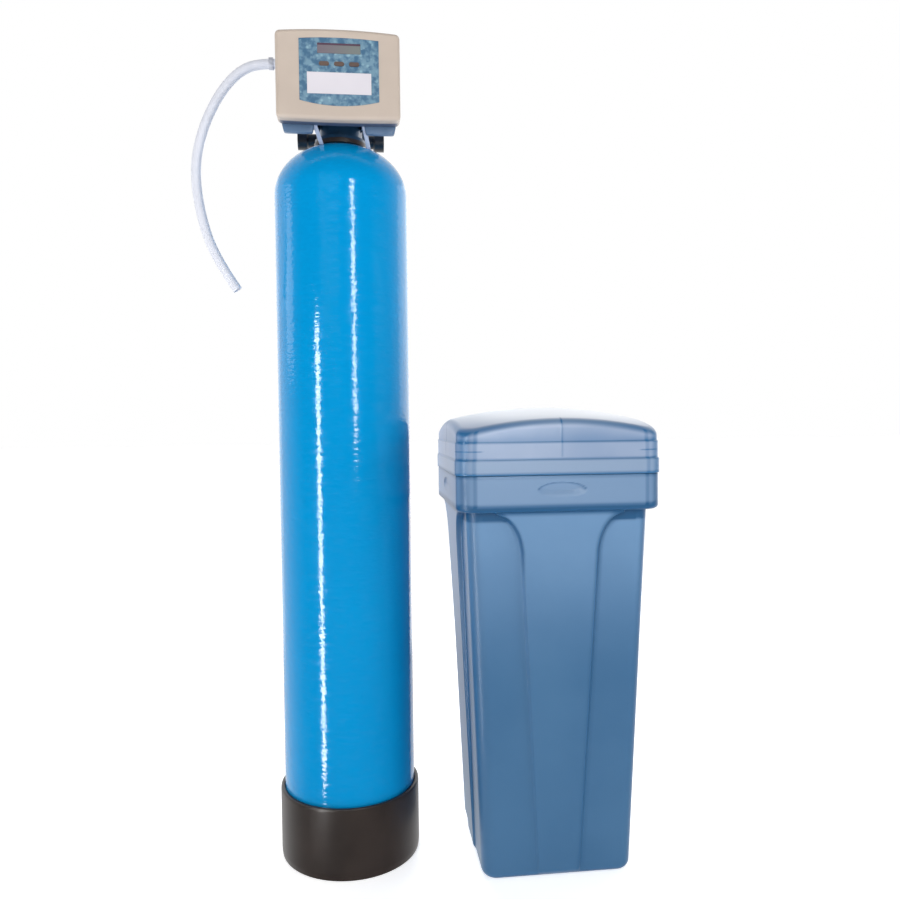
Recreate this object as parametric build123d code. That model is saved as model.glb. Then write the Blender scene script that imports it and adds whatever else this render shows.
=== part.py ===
from build123d import *
import math
import os

# Water filter set: a resin vessel with its timed control valve, and the salt tank that stands beside it.
# Millimetres. The vessel's axis is the Z axis, the floor is z = 0 and the control panel faces -Y.

# Gaps shared by all the pieces
SEAT_GAP = 0.3  # between pieces that rest on or in each other
RUN_GAP = 0.05  # round a shaft that turns or slides in its bore

# Pressure vessel
VESSEL_RADIUS = 128.5
VESSEL_WALL = 6.5
VESSEL_FLOOR_RADIUS = 30.0  # flat in the middle of the inside, for the bottom basket
VESSEL_LOW = 12.0
VESSEL_HIGH = 1390.0
DOME_RISE = 100.0
NECK_RADIUS = 45.0  # hole in the winding that the moulded neck fills
NECK_BORE = 31.5
NECK_FLANGE = 51.0
NECK_DEPTH = 34.0  # of the neck below its flange
NECK_FLANGE_THICK = 8.0
SEAL_SECTION = 3.0

# Boot
BOOT_HEIGHT = 140.0
BOOT_WALL = 8.0
BOOT_FLOOR = 6.0
BOOT_RIBS = 6
BOOT_RIB_THICK = 6.0
BOOT_RING_RADIUS = 84.0
BOOT_EDGE = 3.5

# Riser, baskets and media
RISER_RADIUS = 13.35
RISER_BORE = 10.9
BASKET_RADIUS = 24.0
BASKET_HEIGHT = 52.0
BASKET_WALL = 4.0
BASKET_SLOT = 3.0
GRAVEL_TOP = 122.0
RESIN_TOP = 930.0

# Valve body
FLANGE_RADIUS = 49.0
FLANGE_THICK = 6.5
THREAD_DEPTH = 24.0
VALVE_NECK_RADIUS = 39.5
CHAMBER_RADIUS = 36.0
CHAMBER_BORE = 26.3
CHAMBER_RISE = 74.7  # chamber axis above the valve's seat on the neck
CHAMBER_FRONT = -58.0
CHAMBER_BACK = 56.0
CHAMBER_END_WALL = 6.0
PORT_SPREAD = 31.0
PORT_DROP = 34.0  # port axes below the chamber axis
PORT_RADIUS = 17.0
PORT_BORE = 10.5
PORT_FACE = 74.0

# Piston and its drive
PISTON_TRAVEL = 36.0
PISTON_RADIUS = 14.0
PISTON_WAIST = 9.0
PISTON_LAND = 10.0
PISTON_LENGTH = 36.0
PISTON_START = -24.0
ROD_RADIUS = 8.0
ROD_OVERLAP = 20.0  # of the rod in the sleeve when the piston is at the back
SLEEVE_RADIUS = 12.0
SLEEVE_END = -30.0
CAP_FLANGE = 34.0
CAP_FLANGE_THICK = 6.0
SEAL_WINDOW = 9.0
SEAL_ROWS = 3

# Gear train, from the motor to the sleeve that screws the piston along
PRESSURE_ANGLE = 20.0
BACKLASH = 0.25
DRIVE_TEETH = 30
DRIVE_MODULE = 2.2
SMALL_TEETH = 10
LARGE_TEETH = 27
MOTOR_MODULE = 1.5
MOTOR_TEETH = 9
DRIVE_GEAR_FRONT = -100.0
DRIVE_GEAR_THICK = 9.0
LARGE_GEAR_THICK = 5.0
GEAR_STEP = 0.5
REDUCER_ANGLE = 60.0
AXLE_RADIUS = 2.5
AXLE_HEAD = 4.2
AXLE_HEAD_THICK = 1.2
MOTOR_SHAFT = 2.0
MOTOR_RADIUS = 17.0
MOTOR_LENGTH = 40.0
MOTOR_SOCKET = 5.0
GEAR_TO_PLATE = 1.0
PLATE_THICK = 3.5

# Control head, whose cover and housing share one outline
HEAD_WIDTH = 224.0
HEAD_DROP = 65.97  # of the head's lower edge below the chamber's axis
HEAD_HEIGHT = 155.0
HEAD_CROWN = 5.0
HEAD_SAG = 2.0
HEAD_CORNER = 9.0
COVER_FRONT = -121.0
COVER_DEPTH = 33.0
COVER_WALL = 3.0
COVER_EDGE = 7.0
HOUSING_INSET = 7.0
HOUSING_BACK = 63.0
HOUSING_WALL = 3.0
HOUSING_SLOPE_START = -45.0
HOUSING_SLOPE_RISE = 44.0
RIM_INSET = 1.0
RIM_THICK = 3.0
NOTCH_GAP = 2.0

# Front panel, measured from the head's centre line and bottom edge
PANEL_SHIFT = 2.0
OVERLAY_WIDTH = 143.0
OVERLAY_LOW = 31.0
OVERLAY_HIGH = 140.0
OVERLAY_SAG = 9.0
OVERLAY_RISE = 3.0
OVERLAY_THICK = 0.8
OVERLAY_PROUD = 0.2
DISPLAY_WIDTH = 77.0
DISPLAY_HEIGHT = 18.0
DISPLAY_UP = 124.0
LABEL_WIDTH = 115.0
LABEL_HEIGHT = 38.0
LABEL_UP = 62.0
LABEL_THICK = 0.8
BUTTON_WIDTH = 18.0
BUTTON_HEIGHT = 7.5
BUTTON_UP = 96.5
BUTTON_PITCH = 27.0
BUTTON_PROUD = 1.2
BUTTON_TRAVEL = 0.8
BUTTON_FLANGE = 1.5
BOARD_WIDTH = 138.0
BOARD_THICK = 1.6
BOARD_GAP = 9.3  # from the cover's inner face back to the board
BOARD_LOW = 80.0
BOARD_HIGH = 144.0
SWITCH_HIGH = 1.4
SWITCH_SIZE = 6.0
POST_SIZE = 6.0

# Water connections
ELBOW_RADIUS = 13.5
ELBOW_REACH = 20.0
ELBOW_ARM = 44.7
ELBOW_LIP = 5.0
NUT_RADIUS = 19.0
NUT_SHOULDER = 4.0
NUT_RELIEF = 0.6  # behind the thread, where the elbow's lip turns
NUT_THREAD = 15.2
NUT_THREAD_LENGTH = 12.0
NUT_EDGE = 2.5
DRAIN_X = -20.0
DRAIN_Y = -22.0
DRAIN_RISE = 69.3  # drain outlet above the chamber axis
DRAIN_RADIUS = 8.0
DRAIN_BORE = 6.0
DRAIN_BOSS = 11.0
DRAIN_BOSS_RISE = 50.0
DRAIN_END = -114.0
INJECTOR_Y = 20.0
INJECTOR_BOSS = 14.0
INJECTOR_END = 50.0
INJECTOR_CAP_LENGTH = 11.0
INJECTOR_CAP_RADIUS = 16.0
BRINE_X = 20.0
BRINE_Y = 34.0
BRINE_BOSS = 9.0
BRINE_BOSS_RISE = 43.0
BRINE_RISE = 54.0
BRINE_RADIUS = 7.0
BRINE_LINE = 4.8
BRINE_LINE_DEPTH = 14.0
BRINE_END = 84.0

# Drain hose, from its fitting to its cut end; the points were chosen by hand
HOSE_RADIUS = 9.0
CLIP_WALL = 2.0
CLIP_WIDTH = 8.0
CLIP_OFFSET = 10.0
HOSE_ROUTE = [
    (DRAIN_END, 1536.3),
    (-152.0, 1536.3),
    (-190.0, 1519.0),
    (-226.0, 1477.0),
    (-258.0, 1412.0),
    (-275.0, 1337.0),
    (-266.0, 1250.0),
    (-240.0, 1168.0),
    (-199.0, 1107.0),
]

# Salt tank, a tapered square tub that stands beside the vessel
TUB_X = 384.8
TUB_Y = -30.2
TUB_LOW_HALF = 141.5
TUB_HIGH_HALF = 168.5
TUB_CORNER = 28.0
TUB_FOOT_EDGE = 16.0
COLLAR_LOW = 688.0
COLLAR_HEIGHT = 65.7
COLLAR_OVERHANG = 18.5
COLLAR_CORNER = 36.0
COLLAR_EDGE = 9.0
TUB_WALL = 4.0
RIM_LIP_STEP = 11.0
RIM_LIP_HEIGHT = 19.0
PILASTER_LOW_SHARE = 0.276  # of the tub's half width at the foot
PILASTER_HIGH_SHARE = 0.398  # and under the collar
PILASTER_FLARE_DROP = 84.0  # below the collar
PILASTER_FLARE = 78.0
PILASTER_LOW_PROUD = 3.5
PILASTER_HIGH_PROUD = 11.0
SCOOP_WIDTH = 90.0
SCOOP_HEIGHT = 28.0
SCOOP_UP = 39.0
SCOOP_DEPTH = 5.0

# Lid
LID_HEIGHT = 122.3
LID_CROWN_RADIUS = 745.0
LID_WALL = 3.5
LID_EDGE = 7.0
LID_BEAD = 28.0
LID_BEAD_PROUD = 1.8

# Brine well with its safety float, in the tub's right rear corner
WELL_OFFSET = 78.0
WELL_RADIUS = 50.0
WELL_WALL = 3.0
WELL_RISE = 2.0  # of the well's rim above the foot of the collar
WELL_SLOT = 8.0
WELL_CAP_THICK = 3.0
WELL_CAP_SKIRT = 16.0
GUIDE_LENGTH = 56.0
GUIDE_WIDTH = 26.0
GUIDE_HEIGHT = 80.0
GUIDE_DROP = 50.0  # below the well's rim
ARM_SIZE = 8.0
PICKUP_OFFSET = -15.0
PICKUP_RADIUS = 4.8
PICKUP_WALL = 1.2
PICKUP_LOW = 70.0
PORT_STEP = 6.0  # between the top of the pickup tube and the foot of the line's port
CHECK_RADIUS = 13.0
CHECK_HEIGHT = 55.0
FLOAT_ROD_OFFSET = 16.0
FLOAT_ROD_RADIUS = 2.5
FLOAT_ROD_LOW = 110.0
FLOAT_ROD_OVER = 2.0  # left under the well's cap when the float is up
FLOAT_STOP_THICK = 4.0
FLOAT_RADIUS = 18.0
FLOAT_HEIGHT = 70.0
FLOAT_LOW = 300.0
FLOAT_RISE = 40.0
OVERFLOW_DROP = 68.0  # below the collar
OVERFLOW_X = -108.0
OVERFLOW_RADIUS = 10.0
OVERFLOW_BARB = 6.5
OVERFLOW_FLANGE = 16.0
OVERFLOW_FLANGE_THICK = 4.0
OVERFLOW_NUT_THICK = 6.0
OVERFLOW_OUT = 28.0
LINE_HOLE_RADIUS = 6.5
LINE_HOLE_X = 108.0

# Heights and places worked out from the sizes above
NECK_FLANGE_LOW = VESSEL_HIGH - DOME_RISE * (1 - math.sqrt(1 - (NECK_RADIUS / VESSEL_RADIUS) ** 2)) + SEAT_GAP
NECK_TOP = NECK_FLANGE_LOW + NECK_FLANGE_THICK
VALVE_SEAT = NECK_TOP + SEAT_GAP
CHAMBER_Z = VALVE_SEAT + CHAMBER_RISE
HEAD_BOTTOM = CHAMBER_Z - HEAD_DROP
PORT_Z = CHAMBER_Z - PORT_DROP
THREAD_LOW = VALVE_SEAT - THREAD_DEPTH
RISER_TOP = VALVE_SEAT
RISER_LOW = VESSEL_LOW + VESSEL_WALL + BASKET_HEIGHT - BASKET_WALL
REDUCER_DISTANCE = DRIVE_MODULE * (DRIVE_TEETH + SMALL_TEETH) / 2
MOTOR_DISTANCE = MOTOR_MODULE * (LARGE_TEETH + MOTOR_TEETH) / 2
REDUCER_X = REDUCER_DISTANCE * math.cos(math.radians(REDUCER_ANGLE))
REDUCER_Z = CHAMBER_Z + REDUCER_DISTANCE * math.sin(math.radians(REDUCER_ANGLE))
MOTOR_X = REDUCER_X + MOTOR_DISTANCE
LARGE_GEAR_FRONT = DRIVE_GEAR_FRONT + DRIVE_GEAR_THICK + GEAR_STEP
PLATE_FRONT = LARGE_GEAR_FRONT + LARGE_GEAR_THICK + GEAR_TO_PLATE
PLATE_BACK = PLATE_FRONT + PLATE_THICK
COVER_BACK = COVER_FRONT + COVER_DEPTH
HOUSING_FRONT = COVER_BACK + SEAT_GAP
PANEL_INNER = COVER_FRONT + COVER_WALL
OVERLAY_FRONT = COVER_FRONT - OVERLAY_PROUD
OVERLAY_BACK = OVERLAY_FRONT + OVERLAY_THICK
BOARD_FRONT = PANEL_INNER + BOARD_GAP
BOARD_BACK = BOARD_FRONT + BOARD_THICK
DRAIN_Z = CHAMBER_Z + DRAIN_RISE
TUB_SLOPE = (TUB_HIGH_HALF - TUB_LOW_HALF) / COLLAR_LOW
COLLAR_HALF = TUB_HIGH_HALF + COLLAR_OVERHANG
RIM_LIP_HALF = COLLAR_HALF - RIM_LIP_STEP
LEDGE_HEIGHT = COLLAR_LOW + COLLAR_HEIGHT
LID_TOP = LEDGE_HEIGHT + LID_HEIGHT
PILASTER_LOW_WIDTH = 2 * PILASTER_LOW_SHARE * TUB_LOW_HALF
PILASTER_HIGH_WIDTH = 2 * PILASTER_HIGH_SHARE * TUB_HIGH_HALF
PILASTER_FLARE_START = COLLAR_LOW - PILASTER_FLARE_DROP
OVERFLOW_UP = COLLAR_LOW - OVERFLOW_DROP
WELL_TOP = COLLAR_LOW + WELL_RISE
GUIDE_HIGH = WELL_TOP - GUIDE_DROP
GUIDE_LOW = GUIDE_HIGH - GUIDE_HEIGHT


def lathe(points, axis=Axis.Z):
    """Turned piece from its half section, given as (radius, height) corners."""
    section = Plane.XZ * make_face(Polyline(*points, close=True))
    return revolve(section, axis)


def turned_y(points, x=0.0, z=0.0):
    """Turned piece about a line along Y, from (radius, y) corners."""
    section = make_face(Polyline(*points, close=True))
    return Pos(x, 0, z) * revolve(section, Axis.Y)


def rod_y(radius, front, back, x=0.0, z=0.0):
    """Plain round rod along Y."""
    return Pos(x, (front + back) / 2, z) * Rot(90, 0, 0) * Cylinder(radius, back - front)


def rod_x(radius, left, right, y, z):
    """Plain round rod along X."""
    return Pos((left + right) / 2, y, z) * Rot(0, 90, 0) * Cylinder(radius, right - left)


def rod_z(radius, low, high, x=0.0, y=0.0):
    """Plain round rod along Z."""
    return Pos(x, y, (low + high) / 2) * Cylinder(radius, high - low)


def block(low, high):
    """Box between two opposite corners."""
    size = [b - a for a, b in zip(low, high)]
    centre = [(a + b) / 2 for a, b in zip(low, high)]
    return Pos(*centre) * Box(*size)


# Vessel and what it holds
def vessel_form(radius, low, high, rise):
    """Round form with an elliptical dome at each end."""
    outline = [
        EllipticalCenterArc((0, low + rise), radius, rise, 270, arc_size=90),
        Line((radius, low + rise), (radius, high - rise)),
        EllipticalCenterArc((0, high - rise), radius, rise, 0, arc_size=90),
        Line((0, high), (0, low)),
    ]
    return revolve(Plane.XZ * make_face(outline), Axis.Z)


def vessel_hollow(gap):
    """Inside of the vessel in straight bands, for the wound wall thickens towards the poles."""
    radius = VESSEL_RADIUS - VESSEL_WALL - gap
    rise = DOME_RISE - VESSEL_WALL
    low = VESSEL_LOW + VESSEL_WALL + gap
    high = VESSEL_HIGH - VESSEL_WALL - gap
    bands = [(math.cos(math.radians(a)), 1 - math.sin(math.radians(a))) for a in (0, 28, 60)]
    foot = [(radius * c, low + rise * s) for c, s in reversed(bands)]
    head = [(radius * c, high - rise * s) for c, s in bands]
    return lathe([(0, low), (VESSEL_FLOOR_RADIUS, low)] + foot + head + [(0, high)])


def vessel_shell():
    shell = vessel_form(VESSEL_RADIUS, VESSEL_LOW, VESSEL_HIGH, DOME_RISE) - vessel_hollow(0)
    return shell - rod_z(NECK_RADIUS, VESSEL_HIGH - DOME_RISE, VESSEL_HIGH + 1)


def neck_ring():
    low = NECK_FLANGE_LOW - NECK_DEPTH
    outer = NECK_RADIUS - SEAT_GAP
    return lathe([
        (NECK_BORE, low), (outer, low), (outer, NECK_FLANGE_LOW), (NECK_FLANGE, NECK_FLANGE_LOW),
        (NECK_FLANGE, NECK_TOP), (NECK_BORE + SEAL_SECTION, NECK_TOP),
        (NECK_BORE + SEAL_SECTION, NECK_TOP - SEAL_SECTION), (NECK_BORE, NECK_TOP - SEAL_SECTION),
    ])


def vessel_boot():
    outer = VESSEL_RADIUS + SEAT_GAP + BOOT_WALL
    bore = VESSEL_RADIUS + SEAT_GAP
    cup = rod_z(outer, 0, BOOT_HEIGHT)
    cup = chamfer(cup.edges().filter_by(GeomType.CIRCLE), BOOT_EDGE)
    cup -= rod_z(bore, BOOT_FLOOR, BOOT_HEIGHT + 1)
    rib_top = VESSEL_LOW + DOME_RISE
    ring = rod_z(BOOT_RING_RADIUS, BOOT_FLOOR, rib_top) - rod_z(
        BOOT_RING_RADIUS - BOOT_RIB_THICK, BOOT_FLOOR - 1, rib_top + 1)
    ribs = [ring]
    for i in range(BOOT_RIBS):
        rib = block((BOOT_RING_RADIUS - BOOT_RIB_THICK, -BOOT_RIB_THICK / 2, BOOT_FLOOR),
                    (bore + 1, BOOT_RIB_THICK / 2, rib_top))
        ribs.append(Rot(0, 0, 360 / BOOT_RIBS * (i + 0.5)) * rib)
    space = vessel_form(bore, VESSEL_LOW - SEAT_GAP, VESSEL_HIGH, DOME_RISE)
    return cup + (sum_of(ribs) - space)


def sum_of(pieces):
    """All the pieces joined, one after another."""
    whole = pieces[0]
    for piece in pieces[1:]:
        whole += piece
    return whole


def slot_bars(reach, width, low, high, count):
    """Flat bars crossed on the axis, which cut twice as many slots in a tube."""
    bar = block((-reach, -width / 2, low), (reach, width / 2, high))
    return sum_of([Rot(0, 0, 180 / count * i) * bar for i in range(count)])


def bottom_basket():
    low = VESSEL_LOW + VESSEL_WALL + SEAT_GAP
    high = low + BASKET_HEIGHT
    socket = RISER_RADIUS + SEAT_GAP
    hollow = BASKET_RADIUS - BASKET_WALL
    basket = lathe([
        (0, low), (BASKET_RADIUS, low), (BASKET_RADIUS, high), (socket, high),
        (socket, high - 3 * BASKET_WALL), (hollow, high - 3 * BASKET_WALL),
        (hollow, low + BASKET_WALL), (0, low + BASKET_WALL),
    ])
    slots = slot_bars(BASKET_RADIUS + 1, BASKET_SLOT, low + 2 * BASKET_WALL, high - 4 * BASKET_WALL, 4)
    return basket - slots


def top_basket():
    high = THREAD_LOW
    low = high - BASKET_HEIGHT
    bore = RISER_RADIUS + SEAT_GAP
    hollow = BASKET_RADIUS - BASKET_WALL
    basket = lathe([
        (bore, low), (BASKET_RADIUS - BASKET_WALL, low), (BASKET_RADIUS, low + BASKET_WALL),
        (BASKET_RADIUS, high), (hollow, high), (hollow, low + BASKET_WALL), (bore, low + BASKET_WALL),
    ])
    slots = slot_bars(BASKET_RADIUS + 1, BASKET_SLOT, low + 2 * BASKET_WALL, high - 2 * BASKET_WALL, 4)
    return basket - slots


def riser_tube():
    return rod_z(RISER_RADIUS, RISER_LOW, RISER_TOP) - rod_z(RISER_BORE, RISER_LOW - 1, RISER_TOP + 1)


def gravel_bed():
    top = rod_z(VESSEL_RADIUS, 0, GRAVEL_TOP)
    return (vessel_hollow(SEAT_GAP) & top) - rod_z(BASKET_RADIUS + SEAT_GAP, 0, GRAVEL_TOP + 1)


def resin_bed():
    radius = VESSEL_RADIUS - VESSEL_WALL - SEAT_GAP
    bed = rod_z(radius, GRAVEL_TOP + SEAT_GAP, RESIN_TOP)
    return bed - rod_z(RISER_RADIUS + SEAT_GAP, 0, RESIN_TOP + 1)


# Control valve
def valve_body():
    outside = [
        rod_z(NECK_BORE - SEAT_GAP, THREAD_LOW, VALVE_SEAT + 1),
        rod_z(FLANGE_RADIUS, VALVE_SEAT, VALVE_SEAT + FLANGE_THICK),
        rod_z(VALVE_NECK_RADIUS, VALVE_SEAT, CHAMBER_Z - CHAMBER_BORE),
        rod_y(CHAMBER_RADIUS, CHAMBER_FRONT, CHAMBER_BACK, 0, CHAMBER_Z),
        rod_z(DRAIN_BOSS, CHAMBER_Z, CHAMBER_Z + DRAIN_BOSS_RISE, DRAIN_X, DRAIN_Y),
        rod_z(BRINE_BOSS, CHAMBER_Z, CHAMBER_Z + BRINE_BOSS_RISE, BRINE_X, BRINE_Y),
        rod_x(INJECTOR_BOSS, 0, INJECTOR_END, INJECTOR_Y, CHAMBER_Z),
    ]
    inside = [
        rod_y(CHAMBER_BORE, CHAMBER_FRONT - 1, CHAMBER_BACK - CHAMBER_END_WALL, 0, CHAMBER_Z),
        rod_z(RISER_RADIUS + SEAT_GAP, THREAD_LOW - 1, RISER_TOP + SEAT_GAP),
        rod_z(RISER_BORE, RISER_TOP, CHAMBER_Z),
    ]
    for side in (-1, 1):
        outside.append(rod_y(PORT_RADIUS, 0, PORT_FACE, side * PORT_SPREAD, PORT_Z))
        inside.append(rod_y(PORT_BORE, PORT_BORE, PORT_FACE + 1, side * PORT_SPREAD, PORT_Z))
    return sum_of(outside) - sum_of(inside)


def neck_seal():
    """Seal in the rebate round the top of the neck, pressed by the valve's flange."""
    low = NECK_TOP - SEAL_SECTION
    outer = NECK_BORE + SEAL_SECTION
    return lathe([(NECK_BORE, low), (outer, low), (outer, VALVE_SEAT), (NECK_BORE, VALVE_SEAT)])


def chamber_cap():
    bore = SLEEVE_RADIUS + RUN_GAP
    plug = CHAMBER_BORE - SEAT_GAP
    front = CHAMBER_FRONT - CAP_FLANGE_THICK
    return turned_y([
        (bore, front), (CAP_FLANGE, front), (CAP_FLANGE, CHAMBER_FRONT), (plug, CHAMBER_FRONT),
        (plug, SLEEVE_END), (bore, SLEEVE_END),
    ], 0, CHAMBER_Z)


def seal_stack():
    low = SLEEVE_END + SEAT_GAP
    high = CHAMBER_BACK - CHAMBER_END_WALL - SEAT_GAP
    outer = CHAMBER_BORE - SEAT_GAP
    stack = rod_y(outer, low, high, 0, CHAMBER_Z)
    stack -= rod_y(PISTON_RADIUS + SEAT_GAP, low - 1, high + 1, 0, CHAMBER_Z)
    pitch = (high - low) / SEAL_ROWS
    for i in range(SEAL_ROWS):
        y = low + pitch * (i + 0.5)
        for angle in (45, 135):
            bar = Pos(0, y, CHAMBER_Z) * Rot(0, angle, 0) * Box(3 * outer, SEAL_WINDOW, SEAL_WINDOW)
            stack -= bar
    return stack


def main_piston():
    start = PISTON_START
    end = start + PISTON_LENGTH
    rod_end = start - PISTON_TRAVEL - ROD_OVERLAP
    return turned_y([
        (0, rod_end), (ROD_RADIUS, rod_end), (ROD_RADIUS, start),
        (PISTON_RADIUS, start), (PISTON_RADIUS, start + PISTON_LAND), (PISTON_WAIST, start + PISTON_LAND),
        (PISTON_WAIST, end - PISTON_LAND), (PISTON_RADIUS, end - PISTON_LAND), (PISTON_RADIUS, end), (0, end),
    ], 0, CHAMBER_Z)


# Gear train
def gear_outline(teeth, module, turn):
    """Spur gear outline: each flank runs straight from the base circle's involute to its tip."""
    pitch = teeth * module / 2
    base = pitch * math.cos(math.radians(PRESSURE_ANGLE))
    tip = pitch + module
    root = pitch - 1.25 * module

    def roll(radius):
        angle = math.acos(min(1.0, base / radius))
        return math.tan(angle) - angle

    half = (math.pi * module / 2 - BACKLASH) / (2 * pitch) + roll(pitch)
    foot = max(base, root)
    flank = [(foot, half - roll(foot)), (tip, half - roll(tip))]
    if root < base:
        flank.insert(0, (root, half))
    points = []
    for i in range(teeth):
        centre = math.radians(turn) + 2 * math.pi * i / teeth
        sides = [(r, centre - a) for r, a in flank] + [(r, centre + a) for r, a in reversed(flank)]
        points += [(r * math.cos(a), r * math.sin(a)) for r, a in sides]
    return make_face(Polyline(*points, close=True))


def gear_disc(teeth, module, turn, front, thick, x, z):
    """Toothed disc along Y; turn sets the angle of its first tooth from +X towards +Z."""
    outline = Pos(x, front + thick, z) * (Plane.XZ * gear_outline(teeth, module, turn))
    return extrude(outline, thick)


def drive_gear():
    front = DRIVE_GEAR_FRONT
    gear = gear_disc(DRIVE_TEETH, DRIVE_MODULE, REDUCER_ANGLE, front, DRIVE_GEAR_THICK, 0, CHAMBER_Z)
    gear += rod_y(SLEEVE_RADIUS, DRIVE_GEAR_FRONT, SLEEVE_END, 0, CHAMBER_Z)
    return gear - rod_y(ROD_RADIUS + RUN_GAP, DRIVE_GEAR_FRONT - 1, SLEEVE_END + 1, 0, CHAMBER_Z)


def reduction_gear():
    facing = REDUCER_ANGLE + 180 + 180 / SMALL_TEETH
    small = gear_disc(SMALL_TEETH, DRIVE_MODULE, facing, DRIVE_GEAR_FRONT, DRIVE_GEAR_THICK + GEAR_STEP,
                      REDUCER_X, REDUCER_Z)
    large = gear_disc(LARGE_TEETH, MOTOR_MODULE, 0, LARGE_GEAR_FRONT, LARGE_GEAR_THICK, REDUCER_X, REDUCER_Z)
    bore = rod_y(AXLE_RADIUS + RUN_GAP, DRIVE_GEAR_FRONT - 1, PLATE_FRONT, REDUCER_X, REDUCER_Z)
    return small + large - bore


def motor_pinion():
    facing = 180 + 180 / MOTOR_TEETH
    front = LARGE_GEAR_FRONT - GEAR_STEP
    width = LARGE_GEAR_THICK + GEAR_STEP
    gear = gear_disc(MOTOR_TEETH, MOTOR_MODULE, facing, front, width, MOTOR_X, REDUCER_Z)
    return gear + rod_y(MOTOR_SHAFT, front, PLATE_BACK + MOTOR_SOCKET - 1, MOTOR_X, REDUCER_Z)


def gear_axle():
    front = DRIVE_GEAR_FRONT - SEAT_GAP
    return turned_y([
        (0, front - AXLE_HEAD_THICK), (AXLE_HEAD, front - AXLE_HEAD_THICK), (AXLE_HEAD, front),
        (AXLE_RADIUS, front), (AXLE_RADIUS, PLATE_BACK), (0, PLATE_BACK),
    ], REDUCER_X, REDUCER_Z)


def drive_motor():
    body = rod_y(MOTOR_RADIUS, PLATE_BACK, PLATE_BACK + MOTOR_LENGTH, MOTOR_X, REDUCER_Z)
    return body - rod_y(MOTOR_SHAFT + RUN_GAP, PLATE_BACK - 1, PLATE_BACK + MOTOR_SOCKET, MOTOR_X, REDUCER_Z)


def drive_bracket():
    """Plate across the housing that carries the motor, the axle and the board's posts."""
    plate = extrude(head_outline(HOUSING_INSET + HOUSING_WALL + SEAT_GAP, PLATE_BACK), PLATE_THICK)
    collar_bore = CAP_FLANGE + SEAT_GAP
    plate += rod_y(CHAMBER_RADIUS, PLATE_FRONT, CHAMBER_FRONT, 0, CHAMBER_Z)
    plate -= rod_y(collar_bore, PLATE_BACK, CHAMBER_FRONT + 1, 0, CHAMBER_Z)
    plate -= rod_y(SLEEVE_RADIUS + 1, PLATE_FRONT - 1, PLATE_BACK + 1, 0, CHAMBER_Z)
    plate -= rod_y(AXLE_RADIUS, PLATE_FRONT - 1, PLATE_BACK + 1, REDUCER_X, REDUCER_Z)
    plate -= rod_y(2 * MOTOR_SHAFT, PLATE_FRONT - 1, PLATE_BACK + 1, MOTOR_X, REDUCER_Z)
    reach = BOARD_WIDTH / 2 - POST_SIZE
    for x in (-reach, reach):
        for up in (BOARD_LOW + POST_SIZE, BOARD_HIGH - POST_SIZE):
            z = HEAD_BOTTOM + up
            half = POST_SIZE / 2
            plate += block((x - half, BOARD_BACK, z - half), (x + half, PLATE_FRONT, z + half))
    return plate


# Control head
def head_outline(inset, y):
    """Front outline of the head, drawn in by the inset: straight sides, bowed top and bottom."""
    half = HEAD_WIDTH / 2 - inset
    low = HEAD_BOTTOM + inset
    high = HEAD_BOTTOM + HEAD_HEIGHT - inset
    edges = [
        ThreePointArc((-half, low), (0, low - HEAD_SAG), (half, low)),
        Line((half, low), (half, high)),
        ThreePointArc((half, high), (0, high + HEAD_CROWN), (-half, high)),
        Line((-half, high), (-half, low)),
    ]
    face = make_face(edges)
    face = fillet(face.vertices(), max(HEAD_CORNER - inset, 2.0))
    return Pos(0, y, 0) * (Plane.XZ * face)


def panel_oval(width, height, x, z, front, back):
    """Oval bar along Y."""
    outline = Pos(x, back, z) * (Plane.XZ * SlotOverall(width, height))
    return extrude(outline, back - front)


def panel_plate(width, height, up, front, back):
    """Rectangular plate on the panel's centre line."""
    x = PANEL_SHIFT
    z = HEAD_BOTTOM + up
    return block((x - width / 2, front, z - height / 2), (x + width / 2, back, z + height / 2))


def overlay_outline(gap, front, back):
    """Printed panel's outline: straight sides, slightly arched top, bottom edge sagging in the middle."""
    half = OVERLAY_WIDTH / 2 + gap
    low = HEAD_BOTTOM + OVERLAY_LOW - gap
    high = HEAD_BOTTOM + OVERLAY_HIGH + gap
    edges = [
        ThreePointArc((-half, low), (0, low - OVERLAY_SAG), (half, low)),
        Line((half, low), (half, high)),
        ThreePointArc((half, high), (0, high + OVERLAY_RISE), (-half, high)),
        Line((-half, high), (-half, low)),
    ]
    face = Pos(PANEL_SHIFT, back, 0) * (Plane.XZ * make_face(edges))
    return extrude(face, back - front)


def button_places():
    """Centre of each button, as (name, x, z)."""
    names = ("left", "middle", "right")
    z = HEAD_BOTTOM + BUTTON_UP
    return [(name, PANEL_SHIFT + BUTTON_PITCH * (i - 1), z) for i, name in enumerate(names)]


def panel_cuts(gap, front, back):
    """Openings for the display and the buttons, to cut from the cover or the overlay."""
    cuts = [panel_plate(DISPLAY_WIDTH + 2 * gap, DISPLAY_HEIGHT + 2 * gap, DISPLAY_UP, front, back)]
    for name, x, z in button_places():
        cuts.append(panel_oval(BUTTON_WIDTH + 2 * gap, BUTTON_HEIGHT + 2 * gap, x, z, front, back))
    return cuts


def front_cover():
    cover = extrude(head_outline(0, COVER_BACK), COVER_DEPTH)
    cover = fillet(cover.faces().sort_by(Axis.Y)[0].edges(), COVER_EDGE)
    cover -= extrude(head_outline(COVER_WALL, COVER_BACK), COVER_DEPTH - COVER_WALL)
    cover -= overlay_outline(SEAT_GAP, COVER_FRONT - 1, OVERLAY_BACK)
    for cut in panel_cuts(SEAT_GAP, COVER_FRONT - 1, PANEL_INNER + 1):
        cover -= cut
    return cover


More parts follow.
